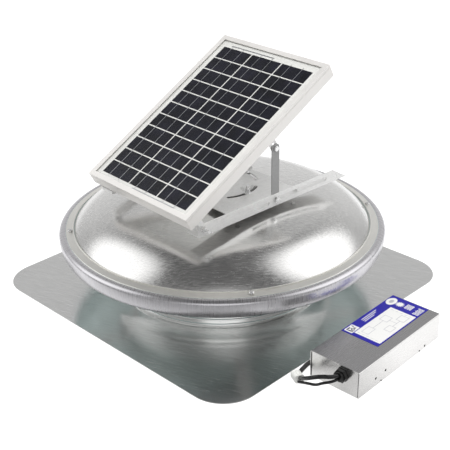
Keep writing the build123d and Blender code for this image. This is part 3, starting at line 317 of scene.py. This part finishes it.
def painted(name, colour, rough, metallic=0.0):
    """Sprayed or anodised finish: a light orange peel and faint dust in the tone."""
    m = Mat(name)
    m.set(Metallic=metallic)
    peel = m.noise(m.coords((700, 700, 700)), 1.0, 2.0)
    dust = m.noise(m.coords((25, 25, 25)), 1.0, 4.0)
    m.feed("Base Color", m.colours(dust, scaled(colour, 0.96), scaled(colour, 1.03)))
    m.feed("Roughness", m.ramp(dust, rough - 0.04, rough + 0.05))
    m.bump(peel, 0.12, 0.00004)
    return m.mat


def galvanised(name, colour, rough):
    """Zinc coated sheet: small spangles that differ a little in tone and gloss."""
    m = Mat(name)
    m.set(Metallic=0.45)
    spangle = m.add("ShaderNodeTexVoronoi")
    spangle.inputs["Scale"].default_value = SPANGLE_SCALE
    m.link(m.coords(), spangle.inputs["Vector"])
    bright = m.add("ShaderNodeSeparateColor")
    m.link(spangle.outputs["Color"], bright.inputs["Color"])
    streaks = m.noise(m.coords((500, 40, 500)), 1.0, 3.0)
    both = m.add("ShaderNodeMath", operation="ADD")
    m.link(m.ramp(bright.outputs["Red"], 0.0, 0.3, 0.0, 1.0), both.inputs[0])
    m.link(m.ramp(streaks, 0.2, 0.6), both.inputs[1])
    m.feed("Base Color", m.colours(both.outputs[0], scaled(colour, 0.9), scaled(colour, 1.06), 0.2, 0.9))
    m.feed("Roughness", m.ramp(both.outputs[0], rough - 0.06, rough + 0.08, 0.2, 0.9))
    m.bump(streaks, 0.2, 0.000006)
    return m.mat


def clear_glass():
    """Low-iron cover glass: clear, and reflecting only on its outward faces."""
    m = Mat("cover_glass")
    m.tree.nodes.remove(m.bsdf)
    clear = m.add("ShaderNodeBsdfTransparent")
    clear.inputs["Color"].default_value = (0.985, 0.99, 0.99, 1)
    gloss = m.add("ShaderNodeBsdfGlossy")
    haze = m.noise(m.coords((30, 30, 30)), 1.0, 3.0)
    m.link(m.ramp(haze, 0.04, 0.09), gloss.inputs["Roughness"])
    fresnel = m.add("ShaderNodeFresnel")
    fresnel.inputs["IOR"].default_value = GLASS_IOR
    geometry = m.add("ShaderNodeNewGeometry")
    front = m.add("ShaderNodeMath", operation="SUBTRACT")
    front.inputs[0].default_value = 1
    m.link(geometry.outputs["Backfacing"], front.inputs[1])
    outside = m.add("ShaderNodeMath", operation="MULTIPLY")
    m.link(front.outputs[0], outside.inputs[0])
    m.link(fresnel.outputs[0], outside.inputs[1])
    mix = m.add("ShaderNodeMixShader")
    m.link(outside.outputs[0], mix.inputs["Fac"])
    m.link(clear.outputs[0], mix.inputs[1])
    m.link(gloss.outputs[0], mix.inputs[2])
    m.link(mix.outputs[0], m.out.inputs["Surface"])
    return m.mat


def silicon():
    """Dark cells whose tint and gloss drift a little across the panel."""
    m = Mat("silicon_cells")
    drift = m.noise(m.coords((40, 30, 30)), 1.0, 1.0)
    m.feed("Base Color", m.colours(drift, (0.003, 0.0032, 0.006), (0.008, 0.008, 0.016)))
    m.feed("Roughness", m.ramp(drift, 0.3, 0.42))
    m.set(Specular_IOR_Level=0.2)
    return m.mat


# ---------------------------------------------------------------- mesh helpers
def mesh_piece(name, verts, faces, material, body, smooth=True):
    mesh = bpy.data.meshes.new(name)
    mesh.from_pydata(verts, [], faces)
    mesh.update()
    if smooth:
        mesh.shade_smooth()
    piece = bpy.data.objects.new(name, mesh)
    SCENE.collection.objects.link(piece)
    mesh.materials.append(material)
    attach(piece, body)
    return piece


def lathe(name, loops, materials, body, changes=()):
    """Turns closed loops of (radius, height) points about Z into one smooth skin.

    At each point number in changes the first loop goes on to the next material.
    """
    verts = []
    faces = []
    slots = []
    for loop in loops:
        start = len(verts)
        count = len(loop)
        for i in range(LATHE_STEPS):
            a = 2 * math.pi * i / LATHE_STEPS
            verts += [(r * math.cos(a), r * math.sin(a), z) for r, z in loop]
        for i in range(LATHE_STEPS):
            j = (i + 1) % LATHE_STEPS
            for k in range(count):
                n = (k + 1) % count
                corners = (i * count + k, j * count + k, j * count + n, i * count + n)
                faces.append(tuple(start + c for c in corners))
                passed = [c for c in changes if k >= c - 1]
                slots.append(len(passed) if loop is loops[0] else 0)
    piece = mesh_piece(name, verts, faces, materials[0], body)
    return finish_skin(piece, materials, slots)


def finish_skin(piece, materials, slots):
    """Sets each face's material, merges the axis points and keeps folds crisp."""
    mesh = piece.data
    for extra in materials[1:]:
        mesh.materials.append(extra)
    mesh.polygons.foreach_set("material_index", slots)
    work = bmesh.new()
    work.from_mesh(mesh)
    bmesh.ops.remove_doubles(work, verts=work.verts, dist=0.000001)
    bmesh.ops.recalc_face_normals(work, faces=work.faces)
    work.to_mesh(mesh)
    work.free()
    mesh.shade_smooth()
    mesh.set_sharp_from_angle(angle=FOLD_ANGLE)
    return piece


def arc(centre, radii, start, end, count):
    """Points on an ellipse's arc, with angles in degrees from the radial direction."""
    points = []
    for i in range(count + 1):
        a = math.radians(start + (end - start) * i / count)
        points.append((centre[0] + radii[0] * math.cos(a), centre[1] + radii[1] * math.sin(a)))
    return points


def dome_skin(offset):
    """The crown and the shoulder, from the axis to the dome's edge."""
    crown_z = DOME_APEX - CROWN_R
    turn = math.asin(CROWN_EDGE / CROWN_R)
    unit = (math.sin(turn), math.cos(turn))
    join = (CROWN_R * unit[0], crown_z + CROWN_R * unit[1])
    edge = (BAND_IN[0] - DOME_EDGE_IN, BAND_IN[1] - DOME_EDGE_DROP)
    step = (edge[0] - join[0], edge[1] - join[1])
    radius = -(step[0] ** 2 + step[1] ** 2) / (2 * (step[0] * unit[0] + step[1] * unit[1]))
    centre = (join[0] - radius * unit[0], join[1] - radius * unit[1])
    end = math.atan2(edge[0] - centre[0], edge[1] - centre[1])
    join_deg = 90 - math.degrees(turn)
    edge_deg = 90 - math.degrees(end)
    crown = arc((0, crown_z), [CROWN_R - offset] * 2, 90, join_deg, DOME_STEPS)
    shoulder = arc(centre, [radius - offset] * 2, join_deg, edge_deg, DOME_STEPS)
    return crown + shoulder[1:]


def build_dome(metal, lining):
    flange_z = BAND_OUT[1] - DOME_FLANGE_DROP
    outer = dome_skin(0) + [(BAND_IN[0], BAND_IN[1] - SHEET), (DOME_FLANGE_R, flange_z - SHEET)]
    inner = [(DOME_FLANGE_R, flange_z - 2 * SHEET)] + dome_skin(SHEET)[::-1]
    piece = lathe("dome_skin", [outer + inner], [metal, lining], "roof_unit", [len(outer)])
    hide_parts("hood_dome")


def roll_curve(inset):
    """One skin of the roll: a quick turn out of the band, then a long turn down and under."""
    middle = (BAND_OUT[0], BAND_OUT[1] - ROLL_TURN)
    out = ROLL_OUT - inset
    upper = arc(middle, (out, ROLL_TURN - inset), ROLL_START_DEG, 0, ROLL_TURN_STEPS)
    lower = arc(middle, (out, ROLL_HEIGHT - ROLL_TURN - inset), 0, -90, ROLL_FALL_STEPS)
    return upper + lower[1:]


def build_rim(band, roll, lining):
    """A flat band, a fine step where the roll starts, and the roll with its open underside."""
    outer = roll_curve(0)
    inner = roll_curve(SHEET)[::-1]
    flat = [BAND_IN, (BAND_OUT[0] - STEP_WIDTH, BAND_OUT[1])]
    step = [(BAND_OUT[0] - STEP_WIDTH * share, BAND_OUT[1] - STEP_DEPTH) for share in STEP_SHARES]
    section = flat + step + outer + inner + [(BAND_IN[0], BAND_IN[1] - SHEET)]
    roll_from = len(flat) + 1
    inner_from = len(flat + step + outer) + 1
    bead_at = (BAND_IN[0] + BAND_BEAD_R, BAND_IN[1] + BAND_BEAD_R / 2)
    bead = arc(bead_at, [BAND_BEAD_R] * 2, 0, 360, BEAD_STEPS)[:-1]
    changes = [roll_from, inner_from]
    piece = lathe("rim_skin", [section, bead], [band, roll, lining], "roof_unit", changes)
    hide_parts("hood_rim")


def collar_skin(radius):
    points = [(radius, COLLAR_LOW)]
    for i in range(RIDGE_COUNT):
        middle = RIDGE_FIRST + i * RIDGE_STEP
        for k in range(RIDGE_POINTS + 1):
            t = 2 * k / RIDGE_POINTS - 1
            points.append((radius + RIDGE_OUT * (1 - t * t), middle + t * RIDGE_HALF))
    points.append((radius, COLLAR_TOP))
    return points


def build_collar(metal):
    bead = arc((COLLAR_R - SHEET / 2, COLLAR_TOP), [COLLAR_BEAD_R] * 2, 0, 360, BEAD_STEPS)[:-1]
    wall = collar_skin(COLLAR_R) + collar_skin(COLLAR_R - SHEET)[::-1]
    piece = lathe("collar_skin", [wall, bead], [metal], "roof_unit")
    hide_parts("throat_collar")


def rounded_square(angle):
    """Distance from the axis to the flashing's edge at an angle."""
    a = abs(math.remainder(angle, math.pi / 2))
    reach = FLASHING_HALF / math.cos(a)
    if reach * math.sin(a) <= FLASHING_HALF - FLASHING_CORNER_R:
        return reach
    centre = (FLASHING_HALF - FLASHING_CORNER_R) * math.sqrt(2)
    off = math.pi / 4 - a
    return centre * math.cos(off) + math.sqrt(FLASHING_CORNER_R ** 2 - (centre * math.sin(off)) ** 2)


def flare_height(r):
    """The flare's top skin between its outer edge and the neck."""
    t = (FLARE_OUTER_R - r) / (FLARE_OUTER_R - FLARE_TOP_R)
    return SHEET + (FLARE_TOP_Z - SHEET) * t * t


def build_flashing(metal):
    """A flat rounded square that flares up to the neck, with the sleeve inside the collar."""
    flare = [
        FLARE_TOP_R + (FLARE_OUTER_R - FLARE_TOP_R) * i / FLARE_STEPS
        for i in range(FLARE_STEPS + 1)
    ]
    top = [(NECK_R, NECK_TOP_Z), (NECK_R, FLARE_TOP_Z + SHEET)] + [(r, flare_height(r)) for r in flare]
    under = [(r, flare_height(r) - SHEET) for r in flare[::-1]]
    under += [(NECK_R, FLARE_TOP_Z - SHEET), (NECK_R, 0)]
    under += [(NECK_R - SHEET, 0), (NECK_R - SHEET, NECK_TOP_Z)]
    count = len(top) + len(under) + 2 * len(FLAT_SHARES)
    verts = []
    for i in range(LATHE_STEPS):
        a = 2 * math.pi * i / LATHE_STEPS
        edge = rounded_square(a)
        flat = [FLARE_OUTER_R + (edge - FLARE_OUTER_R) * share for share in FLAT_SHARES]
        ring = top + [(r, SHEET) for r in flat] + [(r, 0) for r in flat[::-1]] + under
        verts += [(r * math.cos(a), r * math.sin(a), z) for r, z in ring]
    faces = []
    for i in range(LATHE_STEPS):
        j = (i + 1) % LATHE_STEPS
        for k in range(count):
            n = (k + 1) % count
            faces.append((i * count + k, j * count + k, j * count + n, i * count + n))
    piece = mesh_piece("flashing_sheet", verts, faces, metal, "roof_unit")
    finish_skin(piece, [metal], [0] * len(faces))
    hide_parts("roof_flashing")


def paint(material, *names):
    for name in names:
        mesh = NODES[name].data
        mesh.materials.clear()
        mesh.materials.append(material)


def box_place():
    return Matrix.Translation(BOX_AT) @ Matrix.Rotation(BOX_YAW, 4, "Z")


# ---------------------------------------------------------------- leads
def lead(name, points, diameter, material, node):
    curve = bpy.data.curves.new(name, "CURVE")
    curve.dimensions = "3D"
    curve.resolution_u = 12
    curve.bevel_depth = diameter / 2
    curve.bevel_resolution = 6
    curve.use_fill_caps = True
    spline = curve.splines.new("NURBS")
    spline.points.add(len(points) - 1)
    for point, at in zip(spline.points, points):
        point.co = (*at, 1)
    spline.order_u = 3
    spline.use_endpoint_u = True
    curve.materials.append(material)
    piece = bpy.data.objects.new(name, curve)
    SCENE.collection.objects.link(piece)
    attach(piece, "roof_unit")
    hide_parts(node)
    return piece


def build_leads():
    rubber = moulded("lead_rubber", (0.006, 0.006, 0.007), 0.26)
    lead("supply_cord", SUPPLY_POINTS, SUPPLY_DIAMETER,
         rubber, "supply_lead")
    lead("signal_cord", SIGNAL_POINTS, SIGNAL_DIAMETER,
         rubber, "signal_lead")
    lead("sleeved_cord", SLEEVED_POINTS, SLEEVED_DIAMETER,
         sleeve_material(), "sleeved_lead")


def sleeve_material():
    """Corrugated sleeve: even ribs across the run, lighter on their crests."""
    m = Mat("ribbed_sleeve")
    ribs = m.add("ShaderNodeTexWave", bands_direction="Y")
    ribs.inputs["Scale"].default_value = SLEEVE_RIB_SCALE
    m.link(m.coords(), ribs.inputs["Vector"])
    m.feed("Base Color", m.colours(ribs.outputs["Fac"], (0.008, 0.008, 0.008), (0.05, 0.045, 0.045)))
    m.feed("Roughness", m.ramp(ribs.outputs["Fac"], 0.35, 0.5, 0, 1))
    m.bump(ribs.outputs["Fac"], 0.9, 0.0006)
    return m.mat


# ---------------------------------------------------------------- label print
def plate(name, outlines, material, lift):
    """Flat printed shapes: each outline is a list of box-local points in millimetres."""
    verts = []
    faces = []
    place = box_place()
    for shape in outlines:
        start = len(verts)
        for x, y in shape:
            verts.append(place @ Vector((x / 1000, y / 1000, BOX_TOP + lift)))
        faces.append(tuple(range(start, start + len(shape))))
    piece = mesh_piece(name, verts, faces, material, "roof_unit", smooth=False)
    return piece


def oblong(x0, x1, y0, y1):
    return [(x0, y0), (x1, y0), (x1, y1), (x0, y1)]


def oval(x, y, rx, ry, count=28):
    return [(x + rx * math.cos(2 * math.pi * i / count), y + ry * math.sin(2 * math.pi * i / count))
            for i in range(count)]


def star(x, y, inner, outer, points):
    shape = []
    for i in range(2 * points):
        r = outer if i % 2 else inner
        a = math.pi * i / points
        shape.append((x + r * math.cos(a), y + r * math.sin(a)))
    return shape


def ink(name, colour, rough=0.45):
    m = Mat(name)
    fibre = m.noise(m.coords((900, 900, 900)), 1.0, 3.0)
    m.feed("Base Color", m.colours(fibre, scaled(colour, 0.93), scaled(colour, 1.04)))
    m.feed("Roughness", m.ramp(fibre, rough - 0.05, rough + 0.05))
    m.set(Specular_IOR_Level=0.25)
    return m.mat


def build_label():
    """Generic shapes in place of the printed label: a diagram panel, rules, a disc and a star."""
    white = ink("label_white", (0.77, 0.765, 0.75))
    grey = ink("label_grey", (0.42, 0.42, 0.46))
    dark = ink("label_dark", (0.06, 0.06, 0.10))
    white_shapes = [oblong(-27, 24.5, -28, 80), oval(-37, 97, 9, 13), star(-20, 98, 5, 9.5, 12)]
    white_shapes.append(oblong(-45, -28.5, -33, -10))
    for i, reach in enumerate((62, 54, 40)):
        x = -42 + 3.6 * i
        white_shapes.append(oblong(x, x + 1.5, 12, 12 + reach * 0.7))
    for i in range(6):
        x = -9 + 2.4 * i
        white_shapes.append(oblong(x, x + 1.5, 93 - 1.5 * (i % 2), 108))
    for i in range(7):
        y = 86 + 3.4 * i
        white_shapes.append(oblong(12 + 0.8 * (i % 3), 24, y, y + 1.9))
    plate("label_print_white", white_shapes, white, 0.00002)
    grey_shapes = [oval(-37, 97, 3.6, 6)]
    for x0, x1, y0, y1 in ((-20, -4, 34, 52), (4, 18, 12, 30), (-20, -6, -18, 4), (2, 18, 52, 70)):
        grey_shapes += outline(x0, x1, y0, y1, 0.8)
    grey_shapes.append(oblong(-12, -11.2, 4, 34))
    grey_shapes.append(oblong(-4, 10, 42, 42.8))
    grey_shapes.append(oblong(10, 10.8, 30, 52))
    for i in range(5):
        grey_shapes.append(oblong(-24 + 9 * i, -18 + 9 * i, -24, -23.2))
        grey_shapes.append(oblong(-22 + 9 * i, -17 + 9 * i, 74, 74.8))
    plate("label_print_grey", grey_shapes, grey, 0.00004)
    rng = random.Random(4)
    cells = []
    for i in range(8):
        for j in range(10):
            if rng.random() < 0.55:
                x = -43 + 1.6 * i
                y = -30 + 1.7 * j
                cells.append(oblong(x, x + 1.5, y, y + 1.6))
    plate("label_code_squares", cells, dark, 0.00004)


def outline(x0, x1, y0, y1, line):
    """A thin rectangle drawn with four lines."""
    return [oblong(x0, x1, y0, y0 + line), oblong(x0, x1, y1 - line, y1),
            oblong(x0, x0 + line, y0 + line, y1 - line), oblong(x1 - line, x1, y0 + line, y1 - line)]


# ---------------------------------------------------------------- materials for every node
def dress_nodes():
    zinc = galvanised("zinc_sheet", (0.84, 0.835, 0.825), 0.34)
    zinc_dark = galvanised("zinc_strut", (0.34, 0.34, 0.34), 0.36)
    bolt = brushed("bolt_zinc", (0.88, 0.88, 0.88), 0.2, (300, 300, 2500))
    # The darker top tone is painted shade on the tops of the controller cover and tray.
    box_metal = brushed("box_metal", (0.88, 0.87, 0.86), 0.27, (40, 1200, 1200), turn=90,
                        spread=0.04, depth=0.000006, tone=0.05, top=(0.47, 0.465, 0.47))
    anodised = painted("frame_anodised", (0.89, 0.87, 0.845), 0.38, metallic=0.5)
    black = moulded("black_plastic", (0.02, 0.02, 0.02), 0.4)
    paint(zinc, "hood_straps", "motor_spider", "bracket_base_plate", "right_rail", "left_rail",
          "hinge_tabs", "strut_tabs")
    paint(zinc_dark, "right_strut", "left_strut")
    paint(bolt, "hood_strap_fasteners", "motor_mount_bolts", "swivel_studs", "stud_spacers",
          "swivel_wing_nuts", "rail_bolts", "hinge_bolts", "hinge_wing_nuts", "right_foot_bolt",
          "left_foot_bolt", "right_strut_top_bolt", "left_strut_top_bolt", "tab_screws",
          "fan_hub_fasteners", "controller_screws", "motor_shaft", "motor_bearing")
    paint(galvanised("screen_wire", (0.6, 0.6, 0.6), 0.4), "bird_screen")
    paint(painted("motor_paint", (0.03, 0.03, 0.035), 0.35), "motor_housing", "motor_end_cap")
    paint(brushed("motor_iron", (0.30, 0.30, 0.32), 0.45, (200, 200, 4000)),
          "motor_stator", "motor_rotor")
    paint(brushed("blade_metal", (0.80, 0.81, 0.82), 0.3, (60, 700, 700)), "fan_blades", "fan_hub")
    paint(anodised, "panel_frame_left", "panel_frame_right", "panel_frame_front", "panel_frame_rear")
    paint(clear_glass(), "panel_glass")
    paint(silicon(), "solar_cells")
    paint(brushed("tinned_ribbon", (0.60, 0.60, 0.62), 0.35, (300, 300, 300)), "cell_ribbons")
    paint(painted("backsheet_white", (0.71, 0.695, 0.67), 0.5), "panel_backsheet")
    paint(black, "junction_box", "junction_lid", "junction_gland", "motor_cable_gland", "sleeved_plug")
    paint(box_metal, "controller_cover", "controller_tray")
    paint(ink("label_blue", (0.022, 0.018, 0.30)), "controller_label")
    paint(ink("board_green", (0.02, 0.16, 0.07), 0.35), "circuit_board")
    paint(moulded("gland_nylon", (0.007, 0.007, 0.007), 0.25), "controller_gland",
          "controller_gland_nut")
    paint(moulded("connector_nylon", (0.80, 0.80, 0.77), 0.35), "lead_connector")


def build_sheet_metal():
    """The spun and rolled skins, turned smooth in place of their CAD nodes."""
    lining = brushed("hood_lining", (0.74, 0.85, 0.84), 0.38, (60, 600, 600))
    dome = brushed("dome_metal", (0.83, 0.825, 0.815), 0.2, (55, 620, 620), turn=45,
                   spread=0.07, depth=0.000021, tone=0.15)
    band = spun("band_metal", (0.95, 0.94, 0.90), 0.40, around=10, across=160,
                spread=0.03, tone=0.03, depth=0.0000005)
    # The roll's darker, purple-grey base colour is painted shade: it stands in for the dark reflections
    # under the rim.
    roll = spun("roll_metal_painted_shade", (0.70, 0.69, 0.715), 0.30, around=190, across=15,
                spread=0.05, tone=0.09, depth=0.000001)
    collar = spun("collar_metal", (0.93, 0.94, 0.93), 0.13, around=9, across=500,
                  spread=0.03, tone=0.05, depth=0.000004)
    flashing = brushed("flashing_metal", (0.79, 0.79, 0.785), 0.21, (40, 600, 600), turn=20,
                       spread=0.06, depth=0.000016, tone=0.10)
    build_dome(dome, lining)
    build_rim(band, roll, lining)
    build_collar(collar)
    build_flashing(flashing)


# ---------------------------------------------------------------- stage, light and camera
def build_stage():
    """A floor that is white to camera rays; in reflections its glow fades along one fixed direction."""
    mesh = bpy.data.meshes.new("floor")
    far = FLOOR_REACH
    corners = [(-far, -far, FLOOR_Z), (far, -far, FLOOR_Z), (far, far, FLOOR_Z), (-far, far, FLOOR_Z)]
    mesh.from_pydata(corners, [], [(0, 1, 2, 3)])
    floor = bpy.data.objects.new("floor", mesh)
    SCENE.collection.objects.link(floor)
    m = Mat("floor_paper")
    grain = m.noise(m.coords((40, 40, 40)), 1.0, 2.0)
    m.feed("Base Color", m.colours(grain, FLOOR_TONE, scaled(FLOOR_TONE, 1.03)))
    m.set(Roughness=0.9, Emission_Color=(1, 1, 1, 1), Specular_IOR_Level=0)
    split = m.add("ShaderNodeSeparateXYZ")
    m.link(m.coords(turn=(0, 0, math.radians(FLOOR_TURN_DEG))), split.inputs[0])
    lit = m.ramp(split.outputs["X"], FLOOR_LIT, 0.0, *FLOOR_FADE)
    path = m.add("ShaderNodeLightPath")
    strength = m.add("ShaderNodeMix", data_type="FLOAT")
    m.link(path.outputs["Is Camera Ray"], strength.inputs["Factor"])
    m.link(lit, strength.inputs["A"])
    strength.inputs["B"].default_value = FLOOR_SEEN
    m.feed("Emission Strength", strength.outputs["Result"])
    mesh.materials.append(m.mat)


def soft_lamp(name, at, size, watts, tint):
    """A soft panel that lights matt surfaces and stays out of the metal's reflections."""
    data = bpy.data.lights.new(name, "AREA")
    data.shape = "DISK"
    data.size = size
    data.energy = watts
    data.color = tint
    lamp = bpy.data.objects.new(name, data)
    lamp.location = at
    lamp.rotation_euler = (at - LAMP_AIM).to_track_quat("Z", "Y").to_euler()
    lamp.visible_glossy = False
    SCENE.collection.objects.link(lamp)


def direction(azimuth, elevation):
    a = math.radians(azimuth)
    e = math.radians(elevation)
    return (math.cos(e) * math.cos(a), math.cos(e) * math.sin(a), math.sin(e))


def build_world():
    """A studio sky: dim overhead, paler low down, with soft boxes to both sides and a pale back."""
    world = bpy.data.worlds.new("studio")
    SCENE.world = world
    world.use_nodes = True
    tree = world.node_tree
    tree.nodes.clear()
    out = tree.nodes.new("ShaderNodeOutputWorld")
    sky = tree.nodes.new("ShaderNodeBackground")
    coords = tree.nodes.new("ShaderNodeTexCoord")
    split = tree.nodes.new("ShaderNodeSeparateXYZ")
    tree.links.new(coords.outputs["Generated"], split.inputs[0])
    base = tree.nodes.new("ShaderNodeMapRange")
    base.interpolation_type = "SMOOTHSTEP"
    base.inputs["From Min"].default_value = SKY_FADE_FROM
    base.inputs["From Max"].default_value = 1.0
    base.inputs["To Min"].default_value = SKY_LOW
    base.inputs["To Max"].default_value = SKY_TOP
    tree.links.new(split.outputs["Z"], base.inputs["Value"])
    total = base.outputs["Result"]
    for azimuth, elevation, low, high, gain in LIGHT_LOBES:
        dot = tree.nodes.new("ShaderNodeVectorMath")
        dot.operation = "DOT_PRODUCT"
        tree.links.new(coords.outputs["Generated"], dot.inputs[0])
        dot.inputs[1].default_value = direction(azimuth, elevation)
        lobe = tree.nodes.new("ShaderNodeMapRange")
        lobe.interpolation_type = "SMOOTHSTEP"
        lobe.inputs["From Min"].default_value = low
        lobe.inputs["From Max"].default_value = high
        lobe.inputs["To Min"].default_value = 0
        lobe.inputs["To Max"].default_value = gain
        tree.links.new(dot.outputs["Value"], lobe.inputs["Value"])
        add = tree.nodes.new("ShaderNodeMath")
        add.operation = "ADD"
        tree.links.new(total, add.inputs[0])
        tree.links.new(lobe.outputs["Result"], add.inputs[1])
        total = add.outputs[0]
    sky.inputs["Color"].default_value = (1, 1, 1, 1)
    path = tree.nodes.new("ShaderNodeLightPath")
    seen = tree.nodes.new("ShaderNodeMix")
    tree.links.new(path.outputs["Is Camera Ray"], seen.inputs["Factor"])
    tree.links.new(total, seen.inputs["A"])
    seen.inputs["B"].default_value = BACKDROP_SEEN
    tree.links.new(seen.outputs["Result"], sky.inputs["Strength"])
    tree.links.new(sky.outputs[0], out.inputs["Surface"])


def build_camera():
    data = bpy.data.cameras.new("camera")
    data.lens = CAMERA_LENS_MM
    data.sensor_width = CAMERA_SENSOR_MM
    data.clip_start = CAMERA_CLIP
    camera = bpy.data.objects.new("camera", data)
    SCENE.collection.objects.link(camera)
    back = (CAMERA_AT - CAMERA_TARGET).normalized()
    right = Vector((0, 0, 1)).cross(back).normalized()
    up = back.cross(right)
    level = Matrix((right, up, back)).transposed().to_4x4()
    roll = Matrix.Rotation(math.radians(CAMERA_ROLL_DEG), 4, "Z")
    camera.matrix_world = Matrix.Translation(CAMERA_AT) @ level @ roll
    SCENE.camera = camera


SCENE.view_settings.view_transform = "Standard"
dress_nodes()
build_sheet_metal()
build_leads()
build_label()
build_stage()
soft_lamp("overhead_fill", FILL_AT, FILL_SIZE, FILL_WATTS, FILL_TINT)
soft_lamp("low_rear_fill", LOW_AT, LOW_SIZE, LOW_WATTS, LOW_TINT)
build_world()
build_camera()
